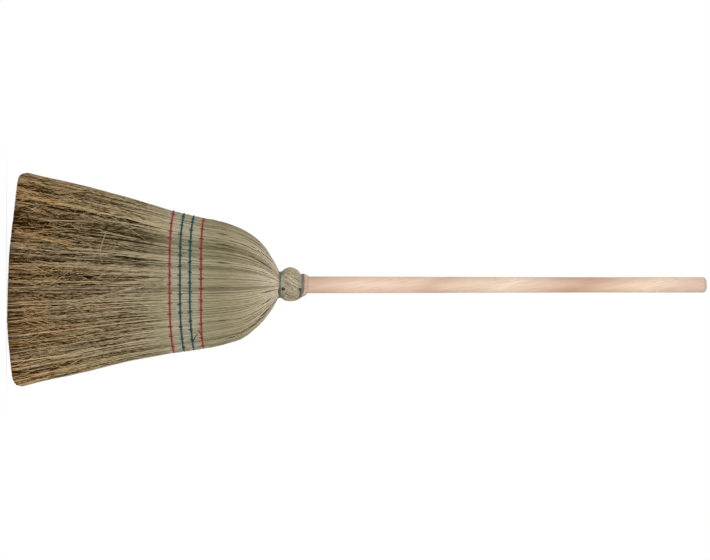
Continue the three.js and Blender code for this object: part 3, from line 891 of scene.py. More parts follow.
def cover_paths(side, across, rng, depth=1.0):
    """Straws on one face of the head or, with a depth for each, between its two faces."""
    count = len(across)
    lock = in_locks(across, LOCKS[side])
    reaches = rng.random(count) < LONG_SHARE
    bold = rng.random(count) < BOLD_SHARE
    end = np.where(reaches, trimmed(across, rng), rng.uniform(*SHORT_ENDS, count))
    below = COVER_TOP[-1] + (end - COVER_TOP[-1])[:, None] * COVER_SHARES
    heights = np.column_stack([np.tile(COVER_TOP, (count, 1)), below])
    free = freedom(heights)
    gather = 0.15 + 0.4 * smoothstep(np.abs(across), 0.3, 0.75)
    pull = gather[:, None] * smoothstep(heights, *NECK_GATHER) + lock_pull(lock, heights)
    reach = along_table(HEAD, heights)[..., 0]
    uneven = rng.normal(0, 0.3, heights.shape) * np.minimum(reach / 110, 1)
    aside = wander(heights, rng, 1.1, 1.4) + lock["drift"] * free + uneven
    places = gathered(across, lock, pull) + aside / reach
    places = np.clip(parted(places, heights), -COVER_EDGE, COVER_EDGE)
    heights[:, -1] = np.where(reaches, trimmed(places[:, -1], rng), end)
    thin = 0.45 + 0.55 * smoothstep(-heights, *NECK_THIN)
    shoulder = smoothstep(heights, *SHOULDER_SWELL)
    lift = rng.uniform(-0.6, 0.5, (count, 1)) + 0.3 * bold[:, None] + 0.35 * lock["lift"] * shoulder
    out = lift * thin - press(heights, places) + free * 1.2 * lock["lift"]
    levels = heights + row_rise(heights, places)
    paths = head_points(levels, places, side, depth, np.minimum(out, 1.0))
    taper = np.where(reaches, 0.35, 0.75)[:, None] * smoothstep(-heights, -COVER_TOP[-1], -end[:, None])
    girth = rng.uniform(0.75, 1.15, count) * np.where(bold, BOLD_GIRTH, 1.0)
    radii = COVER_RADIUS * thin * (1 - taper) * girth[:, None]
    return paths, radii, straw_traits(0.57, 0.4, 0.6, lock, bold, across, rng)


for face, side, seed in FACES:
    rng = np.random.default_rng(COVER_SEED + seed)
    straws = cover_paths(side, even_places(COVER_COUNT, COVER_LEVEL, rng), rng)
    add_straws(face + "_cover", straws, cover_straw, "cover_straw", face + "_cover_straw")

# %% [markdown]
# ## Side straw
# At the narrow sides the two covers meet, and straw fills the seam between them.
# The same paths do for it, with places close to the edges and a depth anywhere between the two faces.

# %% Side straw
SIDE_COUNT = 460
SIDE_EDGE = 0.9985
SIDE_SPREAD = 0.009
SIDE_SEED = 13

rng = np.random.default_rng(SIDE_SEED)
left_or_right = np.where(np.arange(SIDE_COUNT) % 2, 1, -1)
side_places = left_or_right * (SIDE_EDGE - np.abs(rng.normal(0, SIDE_SPREAD, SIDE_COUNT)))
side_depth = rng.uniform(-1, 1, (SIDE_COUNT, 1))
side_straws = cover_paths(1, side_places, rng, side_depth)
add_straws("side_cover", side_straws, cover_straw, "cover_straw", *BOTH_COVERS)

# %% [markdown]
# ## Free straw
# Below the sewing there is far more straw than the cover: fine branches of the plants, layer under layer.
# The layers further in are painted darker as shade, so a gap between two locks looks nearly black, as on the
# real broom.
# About a third of the straws are sewn in, and the others branch off lower down.

# %% Free straw layers
SEWN_START = 345.0
SEWN_SHARE = 0.35
BRANCH_STARTS = (150, 272)
FREE_LEVEL = 120.0
FREE_SHARES = np.array([0, *COVER_SHARES])
FREE_RADIUS = 0.78
FREE_EDGE = 0.998
FREE_SEED = 20
FREE_LAYERS = (
    # depth, straws, lightness (lower further in, as painted shade), whether it lies in the same locks as the
    # cover
    (0.97, 330, 0.45, True),
    (0.89, 410, 0.1, True),
    (0.76, 420, -0.2, False),
)


def free_layer(side, depth, count, light, same_locks, rng):
    across = even_places(count, FREE_LEVEL, rng)
    lock = in_locks(across, LOCKS[side] if same_locks else make_locks(LOCK_COUNT // 2, rng))
    sewn = rng.random(count) < SEWN_SHARE
    bold = rng.random(count) < BOLD_SHARE
    start = np.where(sewn, SEWN_START, rng.uniform(*BRANCH_STARTS, count))
    end = trimmed(across, rng)
    heights = start[:, None] + (end - start)[:, None] * FREE_SHARES
    free = freedom(heights)
    reach = along_table(HEAD, heights)[..., 0]
    aside = wander(heights, rng, 1.4, 1.8) + lock["drift"] * free
    places = gathered(across, lock, lock_pull(lock, heights)) + aside / reach
    places = np.clip(places, -FREE_EDGE, FREE_EDGE)
    heights[:, -1] = trimmed(places[:, -1], rng)
    tucked = np.where(sewn, 0.0, 0.14)[:, None] * (1 - smoothstep(FREE_SHARES, 0, 0.16))
    spread = rng.normal(0, 0.035, (count, 1)) + 0.03 * bold[:, None] + 0.04 * lock["lift"]
    layer = np.clip(depth + spread * free, 0.3, 1.03) - tucked
    out = -press(heights, places) - 1.2 * (1 - free)
    paths = head_points(heights + row_rise(heights, places), places, side, layer, out)
    root = np.where(sewn, 0.95, 0.8)[:, None]
    girth = rng.uniform(0.65, 1.2, count) * np.where(bold, BOLD_GIRTH, 1.0)
    radii = FREE_RADIUS * (root - 0.4 * FREE_SHARES) * girth[:, None]
    radii[:, 0] *= 0.5
    return paths, radii, straw_traits(light, 0.55, 1.0, lock, bold, across, rng)


for face, side, seed in FACES:
    rng = np.random.default_rng(FREE_SEED + seed)
    layers = [free_layer(side, *layer, rng) for layer in FREE_LAYERS]
    straws = [np.concatenate(column) for column in zip(*layers)]
    add_straws(face + "_skirt", straws, cover_straw, "cover_straw", face + "_cover_straw")

# %% [markdown]
# ## Straw inside the skirt
# Between the two faces the skirt is full of straw, and its trimmed ends show from below.
# These straws are thick, with only five points each, because little more than their ends is ever seen.

# %% Straw inside the skirt
INSIDE_COUNT = 1500
INSIDE_SHARES = np.array([0, 0.3, 0.6, 0.85, 1.0])
INSIDE_RADIUS = 1.3
INSIDE_START = 290.0
INSIDE_EDGE = 0.985
INSIDE_DEPTH = 0.8
INSIDE_SEED = 31


def inside_straws(rng):
    across = rng.uniform(-INSIDE_EDGE, INSIDE_EDGE, INSIDE_COUNT)
    depth = rng.uniform(-INSIDE_DEPTH, INSIDE_DEPTH, (INSIDE_COUNT, 1))
    tip = np.clip(across + rng.normal(0, 0.02, INSIDE_COUNT), -INSIDE_EDGE, INSIDE_EDGE)
    end = trimmed(tip, rng) + rng.uniform(0, 0.8, INSIDE_COUNT)
    heights = INSIDE_START + (end - INSIDE_START)[:, None] * INSIDE_SHARES
    places = across[:, None] + (tip - across)[:, None] * INSIDE_SHARES
    paths = head_points(heights, places, 1, depth * (0.8 + 0.2 * freedom(heights)))
    radii = INSIDE_RADIUS * (1 - 0.2 * INSIDE_SHARES) * rng.uniform(0.7, 1.1, (INSIDE_COUNT, 1))
    # Painted shade: straws inside are darker than the cover, less so near the narrow sides.
    lightness = rng.normal(0.0, 0.12, INSIDE_COUNT) + 0.4 * smoothstep(np.abs(across), 0.88, 0.98)
    return paths, radii, np.column_stack([lightness, rng.uniform(0.2, 0.7, INSIDE_COUNT)])


inside = inside_straws(np.random.default_rng(INSIDE_SEED))
add_straws("skirt_inside", inside, cover_straw, "cover_straw", *BOTH_COVERS)

# %% [markdown]
# ## Fibres placed one by one
# A few fibres catch the eye, such as the one that has fallen nearly square across the front.
# Chance would never put them there, so each is a line of points chosen after the photograph.
# Some lines stand for a wisp of several fibres.

# %% Fibres placed one by one
STRAY_POINTS = 9
PLACED_RADIUS = 0.55
PLACED_STRAYS = (
    # fibres, spread, lightness, warmth, then points: distance across from the middle, height
    (1, 0, 1.1, 0.5, ((-80, 170), (-54, 161), (-37, 160.5), (-28, 165))),
    (9, 9, 0.8, 0.3, ((46, 88), (32, 150), (16, 210), (5, 262))),
    (2, 3, 0.9, 0.7, ((-77, 42), (-84, 66), (-96, 108))),
    (2, 2, 1.2, 0.1, ((-102, 63), (-101, 90), (-99, 140))),
    (3, 3, 1.0, 0.2, ((-83, 160), (-74, 200), (-67, 228))),
    (12, 10, 0.75, 0.8, ((-81, 12), (-71, 55), (-58, 110))),
    (2, 4, 0.9, 0.8, ((-124, 126), (-131, 160), (-126, 190), (-115, 225))),
    (6, 12, 0.7, 0.9, ((60, 22), (78, 60), (92, 100))),
)


def on_front(x, heights, out, lift=0.0):
    """Points on the front of the head at these distances across from the middle, lifted up the straw."""
    left, right = along_table(HEAD, heights)[:, :2].T
    across = x - HANDLE_ASIDE
    return head_points(heights + lift, across / np.where(across < 0, left, right), -1, 1.0, out)


def placed_strays(rng):
    """The fibres placed one by one: their paths, lightness and warmth."""
    share = np.linspace(0, 1, STRAY_POINTS)
    out = 2.2 + 0.8 * np.sin(np.pi * share)
    paths, traits = [], []
    for count, spread, lightness, warmth, points in PLACED_STRAYS:
        stations = share * (len(points) - 1)
        x, z = (np.interp(stations, range(len(points)), column) for column in zip(*points))
        for _ in range(count):
            across = x + rng.normal(0, 0.35) * spread * (1 - share) + rng.normal(0, 0.35) * spread * share
            paths.append(on_front(across, z, out, rng.uniform(0, spread)))
            traits.append((lightness + rng.normal(0, 0.15), warmth))
    return np.array(paths), np.array(traits)


print("fibres placed by hand:", sum(row[0] for row in PLACED_STRAYS))

# %% [markdown]
# ## Stray fibres
# Many more fine fibres lie across the others at all angles, most of them near the floor, pale or dark.
# They are bowed lines with random places and leans, just at the surface.
# On the front the first of them give way to the fibres placed one by one.

# %% Stray fibres
STRAY_COUNT = 1000
STRAY_RADIUS = 0.42
STRAY_HEIGHTS = (20, 262)
STRAY_LENGTHS = (22, 90)
STRAY_SEED = 40


def stray_paths(side, rng):
    share = np.linspace(0, 1, STRAY_POINTS)
    column = (STRAY_COUNT, 1)
    low = STRAY_HEIGHTS[0] + 170 * rng.random(column) ** 1.6
    long = rng.uniform(*STRAY_LENGTHS, column)
    heights = np.clip(low + long * share, *STRAY_HEIGHTS)
    reach = along_table(HEAD, heights)[..., 0]
    lean = rng.normal(0, 0.3, column) * long * (share - 0.5)
    bow = rng.normal(0, 0.08, column) * long * np.sin(np.pi * share)
    places = np.clip(rng.uniform(-0.93, 0.93, column) + (lean + bow) / reach, -0.97, 0.97)
    out = rng.uniform(-1.5, 0.4, column) + 0.8 * np.sin(np.pi * share)
    paths = head_points(heights, places, side, 1.0, out)
    lightness = np.where(rng.random(STRAY_COUNT) < 0.42, -0.1, rng.normal(0.9, 0.2, STRAY_COUNT))
    traits = np.column_stack([lightness, rng.uniform(0.1, 1.0, STRAY_COUNT)])
    radii = STRAY_RADIUS * (1 - 0.5 * share) * rng.uniform(0.7, 1.4, column)
    if side < 0:
        placed, placed_traits = placed_strays(rng)
        paths[:len(placed)], traits[:len(placed)] = placed, placed_traits
        radii[:len(placed)] = PLACED_RADIUS * (1 - 0.4 * share)
    return paths, radii, traits


for face, side, seed in FACES:
    straws = stray_paths(side, np.random.default_rng(STRAY_SEED + seed))
    add_straws(face + "_strays", straws, cover_straw, "cover_straw", face + "_cover_straw")

# %% [markdown]
# ## Twine finish
# The twine is dull dyed cotton, a red and a teal blue, with fuzz on it that breaks up the colour.
# Each piece's lightness darkens it as a whole: the stitches lie deeper than the rows, and are painted darker
# as shade.

# %% Twine finish
TWINE_COLOURS = {
    "red_twine": (0.37, 0.046, 0.043),
    "blue_twine": (0.015, 0.091, 0.114),
}


def twine_finish(name, colour):
    finish = Finish(name)
    fuzz = finish.noise((1.1, 1.1, 1.1), detail=3.0)
    dyed = finish.scaled(colour, finish.straw_trait("X") * (0.65 + 0.7 * fuzz))
    bump = finish.bump(fuzz, 0.5, 0.3)
    return finish.shade(Base_Color=dyed, Roughness=0.85, Normal=bump, Specular_IOR_Level=0.15)


TWINES = {name: twine_finish(name, colour) for name, colour in TWINE_COLOURS.items()}
print("twine finishes:", *TWINES)

# %% [markdown]
# ## Sewn rows
# Four rows of twisted twine run right round the head, two red and two blue, and press the straw flat.
# A twine is two plies wound round each other.
# A twisted picture on one tube would look flat at its edges, so two helices follow the row.

# %% Sewn rows
ROW_SAMPLES = 4001
ROW_POINTS = 720
ROW_OUT = 0.55
ROW_NOTCH = 1.8
ROW_NOTCH_POWER = 12
PLY_RADIUS = 1.14
PLY_OFFSET = 0.8
PLY_PITCH = 7.0
PLY_TRAITS = np.array([[1.0, 0.0], [0.9, 0.0]])
UP = np.array([0.0, 0.0, 1.0])


def row_out(across):
    """How far out of the straw a row's middle lies, less at the head's narrow sides."""
    return ROW_OUT - ROW_NOTCH * np.abs(across) ** ROW_NOTCH_POWER


def row_outline(height):
    """Even steps along a sewn row, right round the head, with the direction out of the straw at each."""
    angle = np.linspace(-TURN / 2, TURN / 2, ROW_SAMPLES)
    power = along_table(HEAD, height)[3]
    across = np.sign(np.cos(angle)) * np.abs(np.cos(angle)) ** (2 / power)
    side = np.where(angle < 0, -1, 1)
    level = np.full(angle.shape, height)
    out = row_out(across)
    points = head_points(level, across, side, 1.0, out)
    outward = head_points(level, across, side, 1.0, out + 1.0) - points
    points[:, 2] = height + row_rise(height, across)
    length = length_along(points)
    even = np.linspace(0, length[-1], ROW_POINTS)
    evenly = [[np.interp(even, length, column) for column in table.T] for table in (points, outward)]
    return even, *(np.column_stack(columns) for columns in evenly)


def row_plies(height):
    even, points, outward = row_outline(height)
    turn = (TURN * even / PLY_PITCH)[:, None]
    twist = PLY_OFFSET * (outward * np.cos(turn) + UP * np.sin(turn))
    paths = np.stack([points + twist, points - twist])
    return paths, np.full(paths.shape[:2], PLY_RADIUS), PLY_TRAITS


print("rows are", *(round(row_outline(height)[0][-1]) for height in SEAM_HEIGHTS), "mm long")

# %% [markdown]
# ## Stitches
# Each row is held by stitches that go through the straw from face to face and loop over the row.
# Only the loop shows, so a stitch is a short bent tube that dives into the straw on both sides of the row.
# Each row is added together with its stitches.

# %% Stitches
ROW_NODES = ("red_seam_lower", "blue_seam_lower", "blue_seam_upper", "red_seam_upper")
STITCH_RADIUS = 0.68
STITCH_REACH = 3.9
STITCH_POINTS = 7
STITCH_LEAN = 0.006
STITCH_SLIP = (-1.4, 0.6)
STITCH_ABOVE = 1.7
STITCH_DIVE = 3.6
STITCH_DIVE_POWER = 2.5


def row_stitches(height, rng):
    share = np.linspace(-1, 1, STITCH_POINTS)
    paths = []
    for side in (-1, 1):
        for place in STITCH_PLACES[height]:
            across = place + rng.normal(0, STITCH_LEAN) * share
            slip = rng.uniform(*STITCH_SLIP)
            level = height + float(row_rise(height, place))
            heights = level + STITCH_REACH * share + slip * np.abs(share)
            out = row_out(place) + STITCH_ABOVE - STITCH_DIVE * np.abs(share) ** STITCH_DIVE_POWER
            paths.append(head_points(heights, across, side, 1.0, out))
    paths = np.array(paths)
    # Painted shade: stitches are darker than the rows they loop over.
    traits = np.column_stack([rng.uniform(0.3, 0.6, len(paths)), np.zeros(len(paths))])
    return paths, np.full(paths.shape[:2], STITCH_RADIUS), traits


def twine_of(node):
    """The name of the twine that a row is sewn with."""
    return node.split("_")[0] + "_twine"


for node, height in zip(ROW_NODES, SEAM_HEIGHTS):
    twine = twine_of(node)
    stitches = row_stitches(height, np.random.default_rng(int(height)))
    add_straws(node + "_twine", row_plies(height), TWINES[twine], twine, node)
    add_straws(node + "_stitches", stitches, TWINES[twine], twine, node)

# %% [markdown]
# ## Loose twine ends
# Where the upper two rows were knotted off, a short end of each stands away from the straw.
# Their points are chosen after the photograph.

# %% Loose twine ends
TAIL_RADIUS = 0.62
TAIL_TRAITS = np.array([[0.45, 0.0]])
TAILS = {
    # points: distance across from the middle, height, distance off the straw
    "blue_seam_upper": (
        (107.3, 318.7, 0.6), (103.7, 320.8, 2.2), (99.4, 322.6, 3.0), (95.8, 324.3, 3.0), (93.9, 327.3, 2.4),
    ),
    "red_seam_upper": ((99, 335.5, 0.6), (95, 333, 2.2), (91, 331, 2.8), (86.5, 328.5, 2.4)),
}
for node, tail in TAILS.items():
    twine = twine_of(node)
    path = on_front(*np.array(tail).T)[None]
    straws = path, np.full(path.shape[:2], TAIL_RADIUS), TAIL_TRAITS
    add_straws(node + "_tail", straws, TWINES[twine], twine, node)

# %% [markdown]
# ## Turned pieces
# The handle, the ball's core and the nails are all round.
# A profile spun round an axis gives such a shape in one step, with its poles closed once doubles are merged.

# %% Turned pieces
ON_AXIS = Matrix.Translation((HANDLE_ASIDE * MM, 0, 0))
SAME_POINT = 1e-6


def turned(name, profile, steps, place=ON_AXIS):
    """A solid of revolution from a profile of (radius, height) in mm, moved to its place."""
    shape = bmesh.new()
    verts = [shape.verts.new((radius * MM, 0.0, height * MM)) for radius, height in profile]
    edges = [shape.edges.new(pair) for pair in zip(verts, verts[1:])]
    round_z = {"cent": (0, 0, 0), "axis": (0, 0, 1), "angle": TURN}
    bmesh.ops.spin(shape, geom=verts + edges, **round_z, steps=steps, use_merge=True)
    bmesh.ops.remove_doubles(shape, verts=shape.verts, dist=SAME_POINT)
    bmesh.ops.recalc_face_normals(shape, faces=shape.faces)
    mesh = finished_mesh(name, shape)
    mesh.shade_smooth()
    mesh.transform(place)
    return mesh


print("turned pieces stand", HANDLE_ASIDE, "mm off the middle")

# %% [markdown]
# ## Neck finish
# The stems at the neck are thicker and paler than the straw below, and their cut ends above are nearly pink.
# The colour follows the height, and each stem's own lightness sets it off from its neighbours.

# %% Neck finish
NECK_FOOT = 0.465
NECK_SPAN = 0.05
NECK_STOPS = (
    # share of the neck's height, colour of the stems there
    (0.0, (0.38, 0.325, 0.225)),
    (0.6, (0.4, 0.34, 0.235)),
    (0.8, (0.44, 0.37, 0.27)),
    (0.88, (0.63, 0.455, 0.35)),
)
COLLAR_START = (0.506, 0.509)


def neck_finish():
    finish = Finish("neck_straw")
    height = finish.place("Z")
    ground = finish.ramp((height - NECK_FOOT) / NECK_SPAN, NECK_STOPS)
    fleck = finish.noise((2.4, 2.4, 6), detail=3.0)
    collar = finish.band(height, *COLLAR_START)
    uneven = (finish.straw_trait("X") * (0.75 + 0.5 * fleck) - 1.0) * (1.0 - 0.75 * collar)
    colour = finish.scaled(ground, 1.0 + uneven)
    bump = finish.bump(fleck, 0.3, 0.3)
    return finish.shade(Base_Color=colour, Roughness=0.6, Normal=bump, Specular_IOR_Level=0.25)


neck_straw = neck_finish()
print("neck finish has", len(NECK_STOPS), "colours by height")

# %% [markdown]
# ## Neck ball
# Above the fan the same stems are twisted into a ball round the handle and bound again.
# The ball is a core turned on the handle's axis, covered by stems that run over it slantwise.
# Their cut ends make the pale tapered collar above the upper wire.

# %% Neck ball
NECK = np.array([
    # height, radius
    [466, 21.2], [470.4, 21.9], [472, 22.4], [475, 25.4], [480, 28.5], [486, 29.2], [492, 28.1],
    [497.5, 26.1], [501.5, 22.5], [504, 19.4], [510.5, 18.8], [512.4, 18.2], [514.2, 16.2], [515.5, 14.8],
])
NECK_HEIGHTS = (
    466, 469.5, 472, 475, 478.5, 482, 486, 490, 494, 497.5, 501, 504, 508, 511, 512.8, 514.2, 515.5,
)
NECK_STEMS = 190
NECK_STEM_RADIUS = 0.68
NECK_TWIST = 0.66
NECK_TWIST_HEIGHTS = (466, 506)
NECK_BINDS = (
    # height of a binding, how far up and down it presses the stems
    (469, 3),
    (507, 4),
)
NECK_SWAYS = (
    # distance to the right, height, how far up and down it reaches
    (1.2, 505, 6),
    (-1.4, 486, 9),
)
COLLAR_TILT = 1.1
COLLAR_HEIGHTS = (507, 515)
CORE_INSET = 1.2
CORE_BORE = 14.3
CORE_HEIGHTS = np.linspace(465, 513, 25)
ROUND_STEPS = 64
NECK_SEED = 51


def neck_lean(heights):
    """The ball isn't quite true: it bulges to the left, and its top sits a little to the right."""
    return sum(amount * np.exp(-((heights - middle) / spread) ** 2) for amount, middle, spread in NECK_SWAYS)


def neck_stems(rng):
    start = TURN * (np.arange(NECK_STEMS) + rng.uniform(-0.35, 0.35, NECK_STEMS)) / NECK_STEMS
    heights = np.tile(np.array(NECK_HEIGHTS), (NECK_STEMS, 1))
    heights[:, -1] += rng.normal(0, 0.3, NECK_STEMS)
    twist = NECK_TWIST * smoothstep(heights, *NECK_TWIST_HEIGHTS) + rng.normal(0, 0.02, heights.shape)
    angle = start[:, None] + twist
    pressed = 1.0
    for middle, spread in NECK_BINDS:
        pressed = pressed - 0.35 * np.exp(-((heights - middle) / spread) ** 2)
    radii = NECK_STEM_RADIUS * pressed * rng.uniform(0.75, 1.2, (NECK_STEMS, 1))
    lift = rng.uniform(-0.5, 0.4, (NECK_STEMS, 1)) * pressed
    distance = along_table(NECK, heights)[..., 0] - radii + lift
    x = HANDLE_ASIDE + distance * np.cos(angle) + neck_lean(heights)
    heights = heights - COLLAR_TILT * np.cos(angle) * smoothstep(heights, *COLLAR_HEIGHTS)
    paths = np.stack([x, distance * np.sin(angle), heights], axis=-1)
    lightness = np.clip(rng.normal(1.03, 0.3, NECK_STEMS), 0.45, 1.6)
    return paths, radii, np.column_stack([lightness, np.zeros(NECK_STEMS)])


stems = neck_stems(np.random.default_rng(NECK_SEED))
add_straws("neck_stems", stems, neck_straw, "neck_straw", "neck_ball_straw")
core_radii = along_table(NECK, CORE_HEIGHTS)[:, 0] - CORE_INSET
bore_low, bore_high = (CORE_BORE, CORE_HEIGHTS[0]), (CORE_BORE, CORE_HEIGHTS[-1])
ball_core = turned("neck_core", [bore_low, *zip(core_radii, CORE_HEIGHTS), bore_high, bore_low], ROUND_STEPS)
for vert in ball_core.vertices:
    vert.co.x += neck_lean(vert.co.z / MM) * MM
# The ball's core takes the bed's painted-shade colour.
add_piece(ball_core, bed_finish.material, "neck_straw", "neck_ball_straw")

# %% [markdown]
# ## Wire finish
# The wire is dull tinned steel, dark where its end is twisted. On the lower binding its lowest turns, deep in
# the groove, and its left and right sides are darkened as painted shade, so its upper turns on the front are
# brighter.
# A mirror finish would show a room that isn't there, so the wire is rough and only partly metallic.

# %% Wire finish
WIRE_DARK = (0.085, 0.085, 0.06, 1)
WIRE_BRIGHT = (0.5, 0.49, 0.37, 1)
WIRE_STRAWY = (0.39, 0.36, 0.26, 1)
WIRE_TWISTED = (0.035, 0.035, 0.024, 1)
BETWEEN_BINDINGS = (0.49, 0.5)
# Painted shade: the lower binding's turns below this height are darker, as in the groove's shade.
LIT_TURNS_START = (0.4692, 0.471)
STRAWY_START = (0.4735, 0.476)
SHADED_SIDES = (0.013, 0.021)
TWISTED_PART = (0.05, 0.08)


def wire_finish():
    finish = Finish("binding_wire")
    height = finish.place("Z")
    scratch = finish.noise((3.3, 3.3, 1.1), detail=3.0)
    lower = 1.0 - finish.band(height, *BETWEEN_BINDINGS)
    off_axis = finish.place("X") - HANDLE_ASIDE * MM
    # Painted shade on the binding's left and right sides, where its reflection falls off.
    front = 1.0 - 0.7 * finish.band(off_axis * off_axis, *(reach ** 2 for reach in SHADED_SIDES))
    painted_light = finish.band(height, *LIT_TURNS_START) * lower * front
    tarnish = (1.0 - lower) * 0.12
    colour = finish.mix(0.62 * painted_light + 0.4 * scratch + tarnish, WIRE_DARK, WIRE_BRIGHT)
    strawy = finish.band(height, *STRAWY_START) * lower
    colour = finish.mix(0.5 * strawy, colour, WIRE_STRAWY)
    twisted_end = 1.0 - finish.band(finish.straw_trait("Z"), *TWISTED_PART)
    colour = finish.mix(0.75 * twisted_end, colour, WIRE_TWISTED)
    return finish.shade(Base_Color=colour, Metallic=0.4, Roughness=0.45 + 0.2 * scratch)


binding_wire = wire_finish()
print("wire finish ready")

# %% [markdown]
# ## Wire
# Wire binds the straw to the handle in four places, two of them inside.
# A winding could be a stack of rings, but a real one climbs, so each is a helix with its turns touching.
# One spline makes it, together with the end that leads to the nail or is twisted back.

# %% Wire
WIRE_RADIUS = 0.8
WIRE_STEPS = 28
WIRE_SIDES = 2
WIRE_FROM = 0.13
WIRE_TRAITS = np.array([[1.0, 0.0]])
UPPER_LEAD = (
    # angle in degrees, height, distance from the axis
    (-53, 503.9, 20.6),
    (-60, 504.3, 21.4),
    (-66, 503.5, 22.4),
    (-70, 501.7, 23.4),
)
TWIST_POINTS = 9
TWIST_STEP = 2.1
TWIST_RADIUS = 0.9
LOWER_LEAD = [
    (
        -50 - 3 * k,
        466.4 + TWIST_RADIUS * math.sin(TWIST_STEP * k),
        23.7 + TWIST_RADIUS * math.cos(TWIST_STEP * k),
    )
    for k in range(TWIST_POINTS)
]
WINDINGS = (
    # node, start, turns, pitch, seat, then sag and lead
    ("core_wire", 427.5, 4, 1.7, 17.2),
    ("shoulder_wire", 448.0, 4, 1.7, 17.4),
    ("lower_neck_wire", 466.4, 5.5, 1.8, NECK, 0.0, LOWER_LEAD),
    ("upper_neck_wire", 504.8, 3.0, 1.7, NECK, 3.1, UPPER_LEAD),
)


def winding(start, turns, pitch, seat, sag=0.0, lead=()):
    """A helix round the handle's axis on a seat, which is a radius or a table of radii by height.
    sag lowers it on the +X side, and lead is where its end comes from: angle, height, radius."""
    share = np.linspace(0, turns, round(turns * WIRE_STEPS) + 1)
    angle = TURN * (share - WIRE_FROM)
    heights = start + pitch * share - sag * smoothstep(np.cos(angle), 0.1, 1.0)
    seated = along_table(seat, heights)[:, 0] if np.ndim(seat) else np.full(heights.shape, seat)
    distance = WIRE_RADIUS + seated
    for lead_degrees, lead_height, lead_distance in lead:
        angle = np.insert(angle, 0, math.radians(lead_degrees))
        heights = np.insert(heights, 0, lead_height)
        distance = np.insert(distance, 0, lead_distance)
    x, y = distance * np.cos(angle), distance * np.sin(angle)
    path = np.column_stack([x + HANDLE_ASIDE + neck_lean(heights), y, heights])[None]
    return path, np.full(path.shape[:2], WIRE_RADIUS), WIRE_TRAITS


for node, *turns in WINDINGS:
    add_straws(node + "_turns", winding(*turns), binding_wire, "binding_wire", node, sides=WIRE_SIDES)

# %% [markdown]
# ## Nails
# A nail holds each outer wire's end, with its domed head on the ball and its shank in the handle.
# Each is turned upright, laid over to point out, and then aimed and lifted into place.

# %% Nails
NAIL_PROFILE = (
    # radius, height from the point
    (0, 0), (0.5, 1.6), (0.9, 3.0), (0.9, 20), (2.9, 20), (3.0, 20.35), (2.6, 20.95), (1.5, 21.4), (0, 21.55),
)
NAIL_HEAD_LEVEL = 20.0
NAIL_STEPS = 24
NAILS = (
    # node, direction in degrees, height, distance of the head from the axis
    ("lower_neck_nail", -75, 474.0, 26.4),
    ("upper_neck_nail", -70, 502.2, 22.6),
)
IRON_DARK = (0.015, 0.017, 0.011, 1)
IRON_PALE = (0.05, 0.045, 0.03, 1)

nail_finish = Finish("nail_iron")
rust = nail_finish.noise((1.4, 1.4, 1.4), detail=3.0)
nail_colour = nail_finish.mix(rust, IRON_DARK, IRON_PALE)
nail_iron = nail_finish.shade(Base_Color=nail_colour, Metallic=0.4, Roughness=0.5 + 0.3 * rust)
for node, degrees, height, head_at in NAILS:
    lay = Matrix.Rotation(math.radians(90), 4, "Y")
    aim = Matrix.Rotation(math.radians(degrees), 4, "Z")
    back = Matrix.Translation(((head_at - NAIL_HEAD_LEVEL) * MM, 0, 0))
    lift = Matrix.Translation((0, 0, height * MM))
    nail_mesh = turned(node + "_iron", NAIL_PROFILE, NAIL_STEPS, ON_AXIS @ lift @ aim @ back @ lay)
    add_piece(nail_mesh, nail_iron, "nail_iron", node)

# %% [markdown]
# ## Bundles inside
# Under the cover, stalks are laid on the handle's tapered end and wired on: the core, then two shoulders.
# They don't show, but they fill the head as they do on a real broom.
# Each bundle is a ring of stalks on an oval that narrows to its wire.

# %% Inner bundles
CORE = np.array([
    # height, left, right, half thickness
    [345, 40, 40, 13.5], [380, 30, 30, 17.5], [410, 20, 20, 18.6], [424, 17.2, 17.2, 17.2],
    [441, 17.2, 17.2, 17.2],
])
SHOULDERS = np.array([
    # height, left, right, half thickness
    [345, 102, 97, 15.8], [369, 95, 90, 19.4], [403, 78, 74, 21.5], [430, 48, 43, 21.5],
    [441.5, 25, 24, 21], [445.5, 17.4, 17.4, 17.4], [457, 17.4, 17.4, 17.4],
])
BUNDLES = (
    # node, table, direction of its middle in degrees, seed
    ("front_core_straw", CORE, -90, 61),
    ("back_core_straw", CORE, 90, 62),
    ("left_shoulder_straw", SHOULDERS, 180, 63),
    ("right_shoulder_straw", SHOULDERS, 0, 64),
)
BUNDLE_SPREAD = 172
STALKS = 44
STALK_RADIUS = 1.5
STALK_POINTS = 9
STALK_DEPTH = 2.5
STALK_BOUND = (400, 424)
STALK_THIN = (-440, -380)


def stalks(table, middle, rng):
    """Stalks on an oval table of height, left, right and half thickness, round this angle."""
    heights = np.linspace(table[0, 0], table[-1, 0], STALK_POINTS)
    left, right, half = along_table(table, heights).T
    steps = BUNDLE_SPREAD * (np.arange(STALKS) + rng.uniform(0.2, 0.8, STALKS)) / STALKS
    angle = np.radians(middle + steps - BUNDLE_SPREAD / 2)
    loose = 1 - smoothstep(heights, *STALK_BOUND)
    depth = rng.uniform(0.0, STALK_DEPTH, (STALKS, 1)) * loose + STALK_RADIUS
    across = np.cos(angle)[:, None]
    x = across * (np.where(across < 0, left, right) - depth) + HANDLE_ASIDE
    y = np.sin(angle)[:, None] * (half - depth)
    paths = np.stack(np.broadcast_arrays(x, y, heights), axis=-1)
    radii = STALK_RADIUS * np.tile(0.6 + 0.4 * smoothstep(-heights, *STALK_THIN), (STALKS, 1))
    return paths, radii, np.column_stack([rng.normal(0.5, 0.2, STALKS), rng.uniform(0, 0.4, STALKS)])


inner_straw = straw_finish("inner_straw")
for node, table, middle, seed in BUNDLES:
    bundle = stalks(table, middle, np.random.default_rng(seed))
    add_straws(node + "_stalks", bundle, inner_straw, "inner_straw", node)

